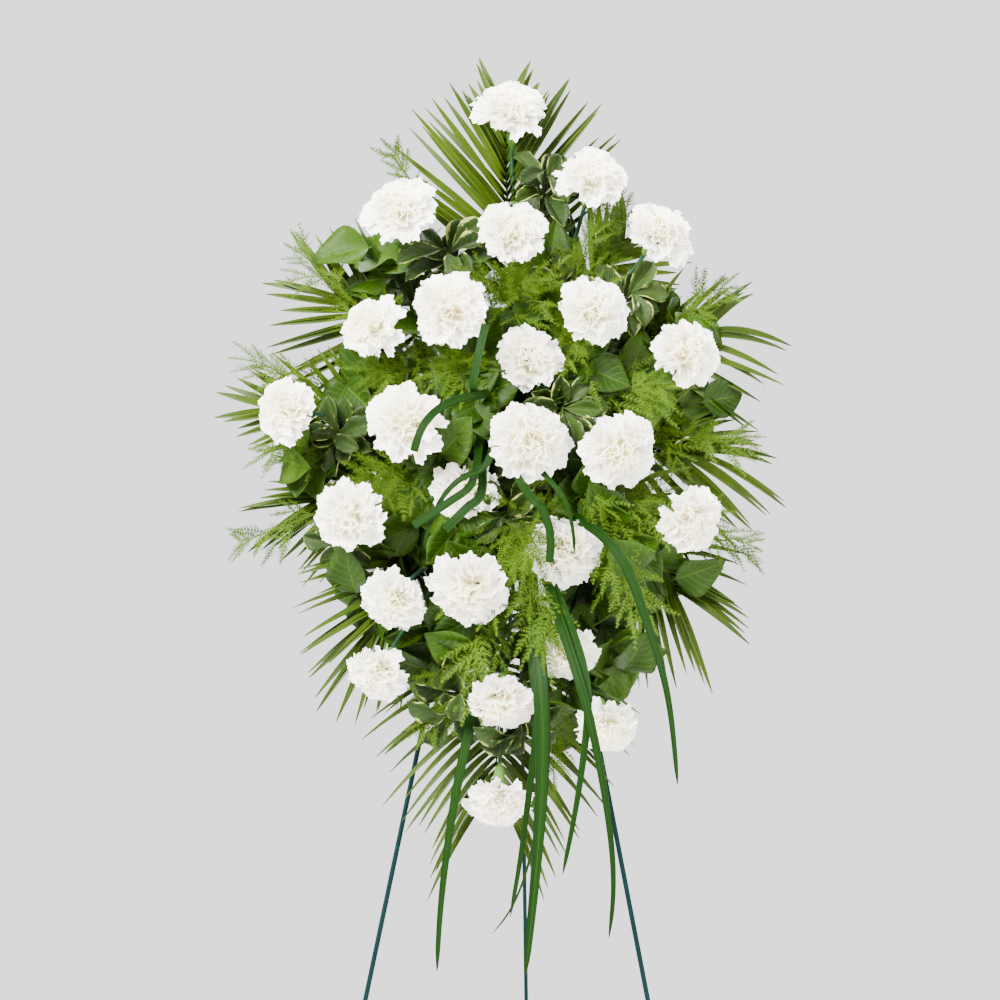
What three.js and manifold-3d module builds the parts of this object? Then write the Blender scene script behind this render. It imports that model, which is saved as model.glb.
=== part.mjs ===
// A standing funeral spray: white carnations, palm, lemon leaf, pittosporum, fern and lily grass
// pushed into a caged block of wet floral foam, which is tied to a folding wire easel.
// Millimetres, +Z up, the front towards -Y. The origin is on the floor, in the middle of the whole.

import * as THREE from "three";
import Module from "manifold-3d";
import { mergeVertices } from "three/addons/utils/BufferGeometryUtils.js";

const wasm = await Module();
wasm.setup();
const { Manifold } = wasm;

// Easel: three rods that stand as a tripod
const APEX_HEIGHT = 1206; // where the lines of the two front legs would meet
const LEG_TOP_HEIGHT = 1150; // where the front legs are cut off
const HINGE_HEIGHT = 1140;
const FRONT_FEET_APART = 484;
const FRONT_FEET_AHEAD = 210; // of the apex
const REAR_FOOT_BEHIND = 310;
const REAR_LEG_RIGHT = 5; // of the middle, where its eye has slid on the hinge bar
const LEG_RADIUS = 2.5;
const ROD_RADIUS = 2;
const ROD_SIDES = 8;
const ROD_OVERHANG = 6; // of a crossbar past the legs
const CROSSBAR_HEIGHTS = { upper: 1045, lower: 960 };
const GAP = 0.3; // between pieces that touch
const HINGE_EYE_WALL = 2;
const HINGE_EYE_WIDTH = 8;
const HINGE_PLAY = 0.25;

// Foam block and the cage round it
const SPRAY_HEIGHT = 1060; // height of the middle of the foam
const FOAM = { width: 100, height: 240, depth: 90 };
const TRAY_WALL = 3;
const TRAY_LIP = 7;
const STRAPS_AT = [-70, 70]; // from the middle of the foam, along its height
const STRAP_WIDTH = 7;
const STRAP_THICKNESS = 2.5;
const STAPLE_DROP = 9; // of the bar that a tie holds, below the crossbar
const STAPLE_RADIUS = 1.4;
const STAPLE_HALF = 9;
const TIE_WIDTH = 3.5;
const TIE_THICKNESS = 1.2;
const TIE_STEPS = 3; // in each of the two bends

// Stems
const STEM_PLAY = 0.5; // of a stem in its hole
const STEM_STRAIGHT = 9; // that a stem runs straight on past the foam
const STEM_SIDES = { palm: 4, lemonLeaf: 3, pittosporum: 3, fern: 3, carnation: 4, grass: 3 };
const LAYER = { palm: 12, lemonLeaf: 19, pittosporum: 26, fern: 32, carnation: 39, front: 48 };
const STEM_RADIUS = { palm: 2.6, lemonLeaf: 1.9, pittosporum: 1.8, fern: 1.3, carnation: 2.2, grass: 1.6 };
const VIEW_TURN = THREE.MathUtils.degToRad(3); // the flowers face this much to the right of -Y

const X_AXIS = new THREE.Vector3(1, 0, 0);
const Z_AXIS = new THREE.Vector3(0, 0, 1);
const UP_EASEL = new THREE.Vector3(0, FRONT_FEET_AHEAD, APEX_HEIGHT).normalize();
const OUT_OF_EASEL = X_AXIS.clone().cross(UP_EASEL);
const FORWARD = new THREE.Vector3(Math.sin(VIEW_TURN), -Math.cos(VIEW_TURN), 0);
const ACROSS = new THREE.Vector3(Math.cos(VIEW_TURN), Math.sin(VIEW_TURN), 0);

// Distance of the front legs' plane ahead of the apex, at a height.
function easelAhead(height) {
  return FRONT_FEET_AHEAD * (1 - height / APEX_HEIGHT);
}

// Half the distance between the front legs' axes, at a height.
function legHalfSpan(height) {
  return (FRONT_FEET_APART / 2) * (1 - height / APEX_HEIGHT);
}

// A point of the arrangement: to the right, up from the floor, and out in front of the easel's plane.
function at(across, up, out) {
  return ACROSS.clone()
    .multiplyScalar(across)
    .addScaledVector(FORWARD, easelAhead(up) + out)
    .addScaledVector(Z_AXIS, up);
}

// The cage's own frame: across, up along the easel, and out from the back of the tray.
const CAGE_CENTRE = new THREE.Vector3(0, -easelAhead(SPRAY_HEIGHT), SPRAY_HEIGHT).addScaledVector(
  OUT_OF_EASEL,
  LEG_RADIUS + GAP,
);
const CAGE_FRAME = new THREE.Matrix4().makeBasis(X_AXIS, UP_EASEL, OUT_OF_EASEL).setPosition(CAGE_CENTRE);
const CAGE_FRAME_BACK = CAGE_FRAME.clone().invert();

function inCage(u, v, w) {
  return new THREE.Vector3(u, v, w).applyMatrix4(CAGE_FRAME);
}

// A repeatable random number from 0 to 1.
function seeded(seed) {
  let state = seed;
  return () => {
    state = (state * 1664525 + 1013904223) % 4294967296;
    return state / 4294967296;
  };
}

// Makes a solid of points and faces, turned so that the faces point out.
function solidFrom(points, faces) {
  const six = faces.reduce(
    (sum, [a, b, c]) => sum + points[a].dot(points[b].clone().cross(points[c])),
    0,
  );
  const outward = six < 0 ? faces.map((face) => [...face].reverse()) : faces;
  return new Manifold(
    new wasm.Mesh({
      numProp: 3,
      vertProperties: new Float32Array(points.flatMap((p) => p.toArray())),
      triVerts: new Uint32Array(outward.flat()),
    }),
  );
}

// Joins rings of points, each of one size or a single point at an end, into one closed solid.
// The split of each four-sided face alternates, so that a thin blade's two faces are split alike.
function loft(rings) {
  const starts = rings.map((_, i) => rings.slice(0, i).reduce((sum, ring) => sum + ring.length, 0));
  const faces = [];
  for (let i = 0; i + 1 < rings.length; i++) {
    const [na, nb] = [rings[i].length, rings[i + 1].length];
    const sides = Math.max(na, nb);
    for (let k = 0; k < sides; k++) {
      const next = (k + 1) % sides;
      const [a0, a1] = [starts[i] + (k % na), starts[i] + (next % na)];
      const [b0, b1] = [starts[i + 1] + (k % nb), starts[i + 1] + (next % nb)];
      if (na === 1) faces.push([a0, b0, b1]);
      else if (nb === 1) faces.push([a0, b0, a1]);
      else if (k % 2) faces.push([a0, b0, a1], [a1, b0, b1]);
      else faces.push([a0, b0, b1], [a0, b1, a1]);
    }
  }
  const last = starts.at(-1);
  for (let k = 1; k + 1 < rings[0].length; k++) faces.push([0, k, k + 1]);
  for (let k = 1; k + 1 < rings.at(-1).length; k++) faces.push([last, last + k + 1, last + k]);
  return solidFrom(rings.flat(), faces);
}

// The direction of a line of points at one of them.
function heading(points, i) {
  const before = points[Math.max(i - 1, 0)];
  const after = points[Math.min(i + 1, points.length - 1)];
  return after.clone().sub(before).normalize();
}

function anySide(direction) {
  return direction
    .clone()
    .cross(Math.abs(direction.z) < 0.9 ? Z_AXIS : X_AXIS)
    .normalize();
}

// A round solid along a line of points, with a radius for each.
function tube(points, radii, sides) {
  let side = anySide(heading(points, 0));
  const rings = points.map((point, i) => {
    const along = heading(points, i);
    side = side.clone().addScaledVector(along, -side.dot(along)).normalize();
    const other = along.clone().cross(side);
    const radius = Array.isArray(radii) ? radii[i] : radii;
    return Array.from({ length: sides }, (_, k) => {
      const turn = (2 * Math.PI * k) / sides;
      return point
        .clone()
        .addScaledVector(side, radius * Math.cos(turn))
        .addScaledVector(other, radius * Math.sin(turn));
    });
  });
  return loft(rings);
}

// A narrow blade along a line of points, pointed at its far end: two edges and a keel behind.
function blade(points, widths, thickness, facing) {
  return loft(
    points.map((point, i) => {
      if (widths[i] === 0) return [point];
      const along = heading(points, i);
      const side = along.clone().cross(facing).normalize();
      const back = side.clone().cross(along).normalize();
      return [
        point.clone().addScaledVector(side, widths[i] / 2),
        point.clone().addScaledVector(side, -widths[i] / 2),
        point.clone().addScaledVector(back, thickness * (back.dot(facing) > 0 ? -1 : 1)),
      ];
    }),
  );
}

// A broad leaf from its stalk's end to its tip: two waved edges and a keel behind.
function leaf(base, along, facing, shape) {
  const side = along.clone().cross(facing).normalize();
  const face = side.clone().cross(along).normalize();
  if (face.dot(facing) < 0) face.negate();
  const spot = (share, across, rise) =>
    base
      .clone()
      .addScaledVector(along, shape.length * share)
      .addScaledVector(side, across)
      .addScaledVector(face, rise - shape.droop * shape.length * share * share);
  return loft(
    shape.outline.map(([share, width], i) => {
      if (width === 0) return [spot(share, 0, 0)];
      const half = (shape.width / 2) * width;
      const wave = shape.wave * (i % 2 ? 1 : -1);
      return [
        spot(share, half, half * shape.fold + wave),
        spot(share, -half, half * shape.fold - wave),
        spot(share, 0, -shape.thickness),
      ];
    }),
  );
}

// A three.js shape of flat faces as a solid.
function solidOf(geometry, matrix = new THREE.Matrix4()) {
  const bare = geometry.index ? geometry.toNonIndexed() : geometry.clone();
  bare.deleteAttribute("normal");
  bare.deleteAttribute("uv");
  const merged = mergeVertices(bare.applyMatrix4(matrix), 1e-4);
  return new Manifold(
    new wasm.Mesh({
      numProp: 3,
      vertProperties: merged.attributes.position.array,
      triVerts: new Uint32Array(merged.index.array),
    }),
  );
}

// A box by its lowest and highest corner in the cage's frame.
function cageBox([u0, v0, w0], [u1, v1, w1]) {
  const middle = new THREE.Matrix4().makeTranslation((u0 + u1) / 2, (v0 + v1) / 2, (w0 + w1) / 2);
  return solidOf(new THREE.BoxGeometry(u1 - u0, v1 - v0, w1 - w0), CAGE_FRAME.clone().multiply(middle));
}

function joined(solids) {
  return Manifold.union(solids);
}

// What is placed so far, by node name, so that what comes later can stay clear of it.
const placed = new Map();

function boxesMeet(a, b) {
  const [p, q] = [a.boundingBox(), b.boundingBox()];
  return [0, 1, 2].every((i) => p.min[i] <= q.max[i] && q.min[i] <= p.max[i]);
}

function isClear(solid, node) {
  for (const [name, other] of placed) {
    if (name === node || !boxesMeet(solid, other)) continue;
    if (solid.intersect(other).volume() > 0) return false;
  }
  return true;
}

// Easel

// A rod from one point to another; an end that stands on the floor is cut flat at it.
function rod(from, to, radius) {
  return tube([from, to], radius, ROD_SIDES);
}

function standingRod(foot, top, radius) {
  const along = top.clone().sub(foot).normalize();
  const below = foot.clone().addScaledVector(along, -4 * radius);
  return rod(below, top, radius).trimByPlane([0, 0, 1], 0);
}

const legTopShare = LEG_TOP_HEIGHT / APEX_HEIGHT;
const apex = new THREE.Vector3(0, 0, APEX_HEIGHT);
for (const [name, side] of [["front_leg_left", -1], ["front_leg_right", 1]]) {
  const foot = new THREE.Vector3((side * FRONT_FEET_APART) / 2, -FRONT_FEET_AHEAD, 0);
  placed.set(name, standingRod(foot, foot.clone().lerp(apex, legTopShare), LEG_RADIUS));
}

// The bars lie across the backs of the legs, where they are welded.
const BAR_BEHIND = LEG_RADIUS + ROD_RADIUS + GAP;

function barMiddle(height) {
  return new THREE.Vector3(0, -easelAhead(height), height).addScaledVector(OUT_OF_EASEL, -BAR_BEHIND);
}

function crossbar(height) {
  const reach = legHalfSpan(height) + ROD_OVERHANG;
  const middle = barMiddle(height);
  return rod(
    middle.clone().addScaledVector(X_AXIS, -reach),
    middle.clone().addScaledVector(X_AXIS, reach),
    ROD_RADIUS,
  );
}

placed.set("hinge_bar", crossbar(HINGE_HEIGHT));
placed.set("crossbar_upper", crossbar(CROSSBAR_HEIGHTS.upper));
placed.set("crossbar_lower", crossbar(CROSSBAR_HEIGHTS.lower));

// The rear leg ends in an eye that turns on the hinge bar.
const hinge = barMiddle(HINGE_HEIGHT).addScaledVector(X_AXIS, REAR_LEG_RIGHT);
const eyeBore = ROD_RADIUS + HINGE_PLAY;
const eyeOuter = eyeBore + HINGE_EYE_WALL;
const rearFoot = new THREE.Vector3(REAR_LEG_RIGHT, REAR_FOOT_BEHIND, 0);
const rearAlong = hinge.clone().sub(rearFoot).normalize();
const eyeSide = (reach, radius) =>
  tube(
    [
      hinge.clone().addScaledVector(X_AXIS, -reach),
      hinge.clone().addScaledVector(X_AXIS, reach),
    ],
    radius,
    12,
  );
placed.set(
  "rear_leg",
  joined([
    standingRod(rearFoot, hinge.clone().addScaledVector(rearAlong, -eyeOuter + 1), ROD_RADIUS),
    eyeSide(HINGE_EYE_WIDTH / 2, eyeOuter),
  ]).subtract(eyeSide(HINGE_EYE_WIDTH, eyeBore)),
);

// Cage: a tray behind the foam, two straps over it, and two staples that the ties hold

const halfWidth = FOAM.width / 2;
const halfHeight = FOAM.height / 2;
const trayHalf = [halfWidth + TRAY_WALL + GAP, halfHeight + TRAY_WALL + GAP];
const strapOut = GAP + STRAP_THICKNESS;

function cageStrap(v) {
  const [low, high] = [v - STRAP_WIDTH / 2, v + STRAP_WIDTH / 2];
  const outer = cageBox(
    [-halfWidth - strapOut, low, TRAY_WALL],
    [halfWidth + strapOut, high, FOAM.depth + strapOut],
  );
  const inner = cageBox(
    [-halfWidth - GAP, low - 1, 0],
    [halfWidth + GAP, high + 1, FOAM.depth + GAP],
  );
  return outer.subtract(inner);
}

// Height in the cage's frame of a crossbar, and the bar's distance behind the tray.
function barInCage(height) {
  return barMiddle(height).applyMatrix4(CAGE_FRAME_BACK);
}

function staple(height) {
  const bar = barInCage(height);
  const v = bar.y - STAPLE_DROP;
  const r = STAPLE_RADIUS;
  const posts = [-1, 1].map((side) => {
    const u = side * STAPLE_HALF;
    return cageBox([u - r, v - r, bar.z - r], [u + r, v + r, 1]);
  });
  return joined([
    cageBox([-STAPLE_HALF, v - r, bar.z - r], [STAPLE_HALF, v + r, bar.z + r]),
    ...posts,
  ]);
}

// A tie is a flat band round a crossbar and a staple.
function tie(height) {
  const bar = barInCage(height);
  const loop = (grow) => {
    const outline = new THREE.Shape();
    const radius = ROD_RADIUS + grow;
    outline.absarc(0, 0, radius, 0, Math.PI, false);
    outline.absarc(0, -STAPLE_DROP, radius, Math.PI, 2 * Math.PI, false);
    return outline;
  };
  const outline = loop(GAP + TIE_THICKNESS);
  outline.holes.push(new THREE.Path(loop(GAP).getPoints(TIE_STEPS).reverse()));
  const band = new THREE.ExtrudeGeometry(outline, {
    depth: TIE_WIDTH,
    bevelEnabled: false,
    curveSegments: TIE_STEPS,
  });
  // The band's outline lies in the plane that the bars cross: its own X is out, its Y up and its Z across.
  const turn = new THREE.Matrix4().makeBasis(
    new THREE.Vector3(0, 0, -1),
    new THREE.Vector3(0, 1, 0),
    new THREE.Vector3(1, 0, 0),
  );
  const place = new THREE.Matrix4().makeTranslation(-TIE_WIDTH / 2, bar.y, bar.z);
  return solidOf(band, CAGE_FRAME.clone().multiply(place).multiply(turn));
}

placed.set(
  "foam_cage",
  joined([
    cageBox([-trayHalf[0], -trayHalf[1], 0], [trayHalf[0], trayHalf[1], TRAY_LIP]).subtract(
      cageBox(
        [-halfWidth - GAP, -halfHeight - GAP, TRAY_WALL],
        [halfWidth + GAP, halfHeight + GAP, TRAY_LIP + 1],
      ),
    ),
    ...STRAPS_AT.map(cageStrap),
    ...Object.values(CROSSBAR_HEIGHTS).map(staple),
  ]),
);
for (const [name, height] of Object.entries(CROSSBAR_HEIGHTS)) placed.set("cage_tie_" + name, tie(height));

// Stems: each runs from its group's seat in the foam, out of the block and on to its end

const holes = [];
const STRAP_CLEAR = STRAP_WIDTH / 2 + 4;
const FRONT_SLOPE = 0.9; // of a stem that leaves by the front of the block, at most
const STEM_STEPS = 3; // in a stem's curve outside the foam
const NUDGES = 21; // tries to get a stem clear of the others
const NUDGE = THREE.MathUtils.degToRad(3);
const FRONT_NUDGE = 4; // times as far for the exit of a stem that leaves by the front
const STEM_CLEAR = 0.4;
const ROOM_SIDES = 6;
const HUB_RADIUS = { side: 12, front: 11 };
const HUB_SIDES = 6;
const HUB_DEPTH = 13;

// Moves a place on the foam's side or front off the straps.
function offStraps(v) {
  for (const strap of STRAPS_AT)
    if (Math.abs(v - strap) < STRAP_CLEAR) return strap + (v < strap ? -STRAP_CLEAR : STRAP_CLEAR);
  return v;
}

// Turns to one side and the other, further with each try.
function nudgeOf(attempt) {
  return (attempt % 2 ? 1 : -1) * Math.ceil(attempt / 2) * NUDGE;
}

// A place of the arrangement turned about its middle.
function swung(across, up, turn) {
  const rise = up - SPRAY_HEIGHT;
  return [
    across * Math.cos(turn) - rise * Math.sin(turn),
    SPRAY_HEIGHT + across * Math.sin(turn) + rise * Math.cos(turn),
  ];
}

// Where a stem leaves the block by a side, on its way in one layer towards a target.
function exitSideways(seat, target, turn) {
  const goal = target.clone().applyMatrix4(CAGE_FRAME_BACK).sub(seat);
  const way = Math.atan2(goal.y, goal.x) + turn;
  const [du, dv] = [Math.cos(way), Math.sin(way)];
  const reach = Math.min(
    ((du > 0 ? halfWidth : -halfWidth) - seat.x) / du,
    ((dv > 0 ? halfHeight : -halfHeight) - seat.y) / dv,
  );
  const [u, v] = [seat.x + du * reach, seat.y + dv * reach];
  return new THREE.Vector3(u, Math.abs(u) > halfWidth - 0.01 ? offStraps(v) : v, seat.z);
}

// The same for a stem that leaves by the front.
function exitFront(seat, target, turn) {
  const goal = target.clone().applyMatrix4(CAGE_FRAME_BACK).sub(seat);
  const way = Math.atan2(goal.y, goal.x) + turn;
  const deep = FOAM.depth - seat.z;
  const slope = Math.min(FRONT_SLOPE, Math.hypot(goal.x, goal.y) / Math.max(goal.z, 1));
  const u = seat.x + deep * slope * Math.cos(way);
  const v = seat.y + deep * slope * Math.sin(way);
  return new THREE.Vector3(u, offStraps(v), FOAM.depth);
}

// The line of a stem from its seat to its end.
function stemLine(seat, exit, end, endHeading, steps) {
  const [start, leave] = [seat, exit].map((p) => inCage(p.x, p.y, p.z));
  const free = leave.clone().addScaledVector(leave.clone().sub(start).normalize(), STEM_STRAIGHT);
  const reach = free.distanceTo(end) * 0.38;
  const curve = new THREE.CubicBezierCurve3(
    free,
    free.clone().addScaledVector(free.clone().sub(start).normalize(), reach),
    end.clone().addScaledVector(endHeading, -reach),
    end,
  );
  return [start, ...curve.getPoints(steps)];
}

// The hole that a stem stands in: its straight part, a little wider, deeper and longer.
function drillHole([start, free], type) {
  const along = free.clone().sub(start).normalize();
  const ends = [
    start.clone().addScaledVector(along, -1.5),
    free.clone().addScaledVector(along, 1),
  ];
  holes.push(tube(ends, STEM_RADIUS[type] + STEM_PLAY, STEM_SIDES[type]));
}

// Where the ends of a group's stems press together the foam is crushed to one hollow, flat for
// stems that leave by the sides and deeper for those that leave by the front.
function crushFoam(seat, type) {
  const half = STEM_RADIUS[type] + STEM_PLAY;
  const front = seat.z === LAYER.front;
  const ends = [-half, front ? HUB_DEPTH : half].map((w) => inCage(seat.x, seat.y, seat.z + w));
  holes.push(tube(ends, front ? HUB_RADIUS.front : HUB_RADIUS.side, HUB_SIDES));
}

// Where along a rib of a length its leaflets sit, in pairs.
function pairSpots(length, pairs) {
  return Array.from({ length: pairs }, (_, pair) => (length * (pair + 0.7)) / (pairs + 0.5));
}

// The room that a stem takes, and a frond's rib before its leaflets are cut.
function stemRoom(line, type, { joint, pairs } = {}) {
  const radius = STEM_RADIUS[type] + STEM_CLEAR;
  if (!pairs) return tube(line, radius, ROOM_SIDES);
  const rib = new THREE.CatmullRomCurve3(line.slice(joint));
  const spots = [0, ...pairSpots(1, pairs), 1].map((share) => rib.getPointAt(share));
  return tube([...line.slice(0, joint), ...spots], radius, ROOM_SIDES);
}

function addTo(node, ...solids) {
  placed.set(node, joined([...(placed.has(node) ? [placed.get(node)] : []), ...solids]));
}

// Finds the first line of a stem that is clear of everything else, and drills its hole.
function plant(node, type, frondKind, makeLine) {
  for (let attempt = 0; attempt < NUDGES; attempt++) {
    const line = makeLine(nudgeOf(attempt));
    if (!isClear(stemRoom(line, type, frondKind), node)) continue;
    drillHole(line, type);
    return line;
  }
  return null;
}

// Carnations: how far right and up each one is, its width, how deep it sits and its group

const CARNATIONS = [
  [-1, 1399, 74, 0, "right_top"],
  [82, 1328, 70, 0, "right_top"],
  [-115, 1295, 74, 0, "left_top"],
  [150, 1272, 68, 0, "right_top"],
  [0, 1272, 68, 0, "left_top"],
  [-63, 1195, 80, 0, "centre"],
  [-143, 1175, 64, 0, "left_top"],
  [81, 1191, 68, 0, "centre"],
  [175, 1148, 70, 0, "right_top"],
  [16, 1143, 70, 30, "centre"],
  [-229, 1091, 68, 0, "left_top"],
  [-108, 1078, 76, 0, "centre"],
  [18, 1058, 82, 0, "centre"],
  [106, 1049, 76, 0, "centre"],
  [-49, 1009, 66, 40, "centre"],
  [-165, 984, 72, 0, "left_bottom"],
  [178, 979, 66, 0, "right_bottom"],
  [53, 947, 70, 30, "centre"],
  [-45, 908, 78, 0, "centre"],
  [-119, 898, 64, 0, "left_bottom"],
  [-136, 825, 64, 0, "left_bottom"],
  [56, 843, 62, 30, "right_bottom"],
  [-12, 796, 68, 0, "left_bottom"],
  [96, 770, 64, 0, "right_bottom"],
  [-15, 695, 68, 0, "right_bottom"],
];
const DOME_RISE = 205; // of the middle carnations out of the easel's plane
const DOME_FALL = 105; // of the outermost ones, less than that
const DOME_REACH = 360;
const TILT_PER_MM = THREE.MathUtils.degToRad(0.15); // outwards, for each millimetre from the middle
const CALYX_LENGTH = 24;
const CALYX_RADIUS = 6.5;
const CALYX_WAIST = 0.35; // of the calyx's length, where it has swollen
const STEM_SEATS = {
  left_top: [-12, 32],
  right_top: [12, 36],
  left_bottom: [-12, -36],
  right_bottom: [12, -32],
  centre: [0, 0],
};

// Rings of a bloom from behind to the front: radius and height as shares of half its width, and
// how far its ruffles stand in and out. Every other ring is a valley between two rows of petals.
const PETAL_POINTS = 14;
const PETAL_RINGS = [
  [0.97, -0.06, 0.09, 0.07],
  [0.7, 0, 0.04, 0.02],
  [0.84, 0.26, 0.1, 0.09],
  [0.48, 0.2, 0.05, 0.02],
  [0.5, 0.5, 0.13, 0.07],
];
const BLOOM_BACK = -0.7;
const BLOOM_MIDDLE = 0.34;
const PETALS_ROUND = 5;

function bloomSolid(centre, axis, width, random) {
  const half = width / 2;
  const side = anySide(axis);
  const other = axis.clone().cross(side);
  const spot = (turn, radius, height) =>
    centre
      .clone()
      .addScaledVector(side, half * radius * Math.cos(turn))
      .addScaledVector(other, half * radius * Math.sin(turn))
      .addScaledVector(axis, half * height);
  const rings = PETAL_RINGS.map(([radius, height, ruffle, wave], row) => {
    const twist = random() * 2 * Math.PI;
    return Array.from({ length: PETAL_POINTS }, (_, k) => {
      const turn = (2 * Math.PI * k) / PETAL_POINTS;
      const sign = k % 2 ? -1 : 1;
      const lobe = row % 2 ? 0 : 0.07 * Math.cos(PETALS_ROUND * turn + twist);
      const r = radius * (1 + sign * ruffle + lobe + 0.05 * (random() - 0.5));
      return spot(turn, r, height + sign * wave + 0.05 * (random() - 0.5));
    });
  });
  return loft([[spot(0, 0, BLOOM_BACK)], ...rings, [spot(0, 0, BLOOM_MIDDLE)]]);
}

// Which way a flower or leaf at a place looks: forward, and outwards from the middle.
function outlook(across, up, perMm) {
  const radial = ACROSS.clone()
    .multiplyScalar(across)
    .addScaledVector(Z_AXIS, up - SPRAY_HEIGHT);
  const tilt = Math.min(radial.length() * perMm, Math.PI / 2);
  return FORWARD.clone()
    .multiplyScalar(Math.cos(tilt))
    .addScaledVector(radial.normalize(), Math.sin(tilt));
}

const blooms = CARNATIONS.map(([across, up, width, deeper, group], i) => {
  const share = Math.hypot(across, up - SPRAY_HEIGHT) / DOME_REACH;
  const centre = at(across, up, DOME_RISE - DOME_FALL * share ** 2 - deeper);
  const axis = outlook(across, up, TILT_PER_MM);
  const name = "carnation_" + String(i + 1).padStart(2, "0");
  placed.set(name, bloomSolid(centre, axis, width, seeded(i + 1)));
  return { centre, axis, half: width / 2, group };
});

for (const { centre, axis, half, group } of blooms) {
  const node = "carnation_stems_" + group;
  const calyxTop = centre.clone().addScaledVector(axis, half * BLOOM_BACK - GAP);
  const calyxBase = calyxTop.clone().addScaledVector(axis, -CALYX_LENGTH);
  const front = group === "centre";
  const seat = new THREE.Vector3(...STEM_SEATS[group], front ? LAYER.front : LAYER.carnation);
  const exitOf = front ? exitFront : exitSideways;
  if (!placed.has(node)) crushFoam(seat, "carnation");
  const line = plant(node, "carnation", undefined, (turn) =>
    stemLine(seat, exitOf(seat, calyxBase, turn), calyxBase, axis, STEM_STEPS),
  );
  line.push(calyxBase.clone().addScaledVector(axis, CALYX_LENGTH * CALYX_WAIST), calyxTop);
  const radii = line.map(() => STEM_RADIUS.carnation);
  radii.splice(-2, 2, CALYX_RADIUS * 0.9, CALYX_RADIUS);
  addTo(node, tube(line, radii, STEM_SIDES.carnation));
}

// Palm fronds and fern sprays: a rib with leaflets in pairs, cut as one outline and bent
// along the end of a stem

// A plate of an outline in two dimensions whose points are placed in space, with their thickness.
// The outline is split into cells, each a list of its points, and the strip of the rib between them.
function plate(outline, place, cells = [outline.map((_, i) => i)], strip = []) {
  const flat = outline.map(([s, t]) => new THREE.Vector2(s, t));
  const cellFaces = cells.flatMap((cell) =>
    THREE.ShapeUtils.triangulateShape(cell.map((i) => flat[i]), []).map((face) => face.map((k) => cell[k])),
  );
  const faces = [...cellFaces, ...strip].map((face) =>
    THREE.ShapeUtils.area(face.map((i) => flat[i])) < 0 ? [...face].reverse() : face,
  );
  const count = outline.length;
  const spots = outline.map(([s, t]) => place(s, t));
  const points = [1, -1].flatMap((sign) =>
    spots.map(({ point, face, thick }) => point.clone().addScaledVector(face, (sign * thick) / 2)),
  );
  const walls = outline.flatMap((_, i) => {
    const next = (i + 1) % count;
    return [[i, i + count, next], [next, i + count, next + count]];
  });
  const turned = THREE.ShapeUtils.isClockWise(flat);
  return solidFrom(points, [
    ...faces,
    ...faces.map(([i, j, k]) => [k + count, j + count, i + count]),
    ...(turned ? walls.map((face) => [...face].reverse()) : walls),
  ]);
}

const RIB_SUNK = 3; // of a rib in the end of its stem

// The frond's own surface along a line: its sides rise towards the front and then droop.
function frondSurface(line, kind) {
  const rib = new THREE.CatmullRomCurve3(line);
  const length = rib.getLength();
  const place = (s, t) => {
    const within = THREE.MathUtils.clamp(s, 0, length);
    const along = rib.getTangentAt(within / length);
    const side = along.clone().cross(FORWARD).normalize();
    const face = side.clone().cross(along).normalize();
    const away = Math.hypot(t, Math.max(s - length, 0));
    const point = rib
      .getPointAt(within / length)
      .addScaledVector(along, s - within)
      .addScaledVector(side, t)
      .addScaledVector(face, kind.rise * away - kind.droop * away ** 2);
    return { point, face, thick: kind.thickness - (kind.thickness - kind.edge) * Math.min(1, away / 60) };
  };
  return { place, length };
}

// The outline of one leaflet, from the back of its root by its tip to the front of its root.
function leafletOutline(spot, sign, slant, length, kind, spacing) {
  const width = Math.min(kind.width, 0.8 * spacing * Math.sin(slant));
  const root = Math.min(0.36 * spacing, (0.35 * width) / Math.sin(slant));
  const place = (share, out) => [
    spot + length * share * Math.cos(slant) - out * Math.sin(slant) + 0.08 * length * share ** 2,
    sign * (kind.rib / 2 + length * share * Math.sin(slant) + out * Math.cos(slant)),
  ];
  const middle = kind.belly ? [place(kind.belly, width * 0.7), place(1, 0)] : [place(1, 0)];
  const outline = [[spot - root, (sign * kind.rib) / 2], ...middle, [spot + root, (sign * kind.rib) / 2]];
  return sign > 0 ? outline : outline.reverse();
}

// The faces between two lines of points that run side by side, the first number of each its distance.
function stripBetween(outline, one, other) {
  const faces = [];
  let [i, j] = [0, 0];
  while (i + 1 < one.length || j + 1 < other.length) {
    const [a, b] = [one[i + 1], other[j + 1]];
    const first = b === undefined || (a !== undefined && outline[a][0] <= outline[b][0]);
    faces.push(first ? [one[i], a, other[j]] : [one[i], b, other[j]]);
    if (first) i++;
    else j++;
  }
  return faces;
}

const SHORTENED = [1, 0.8, 0.62, 0.45, 0.25];

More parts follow.
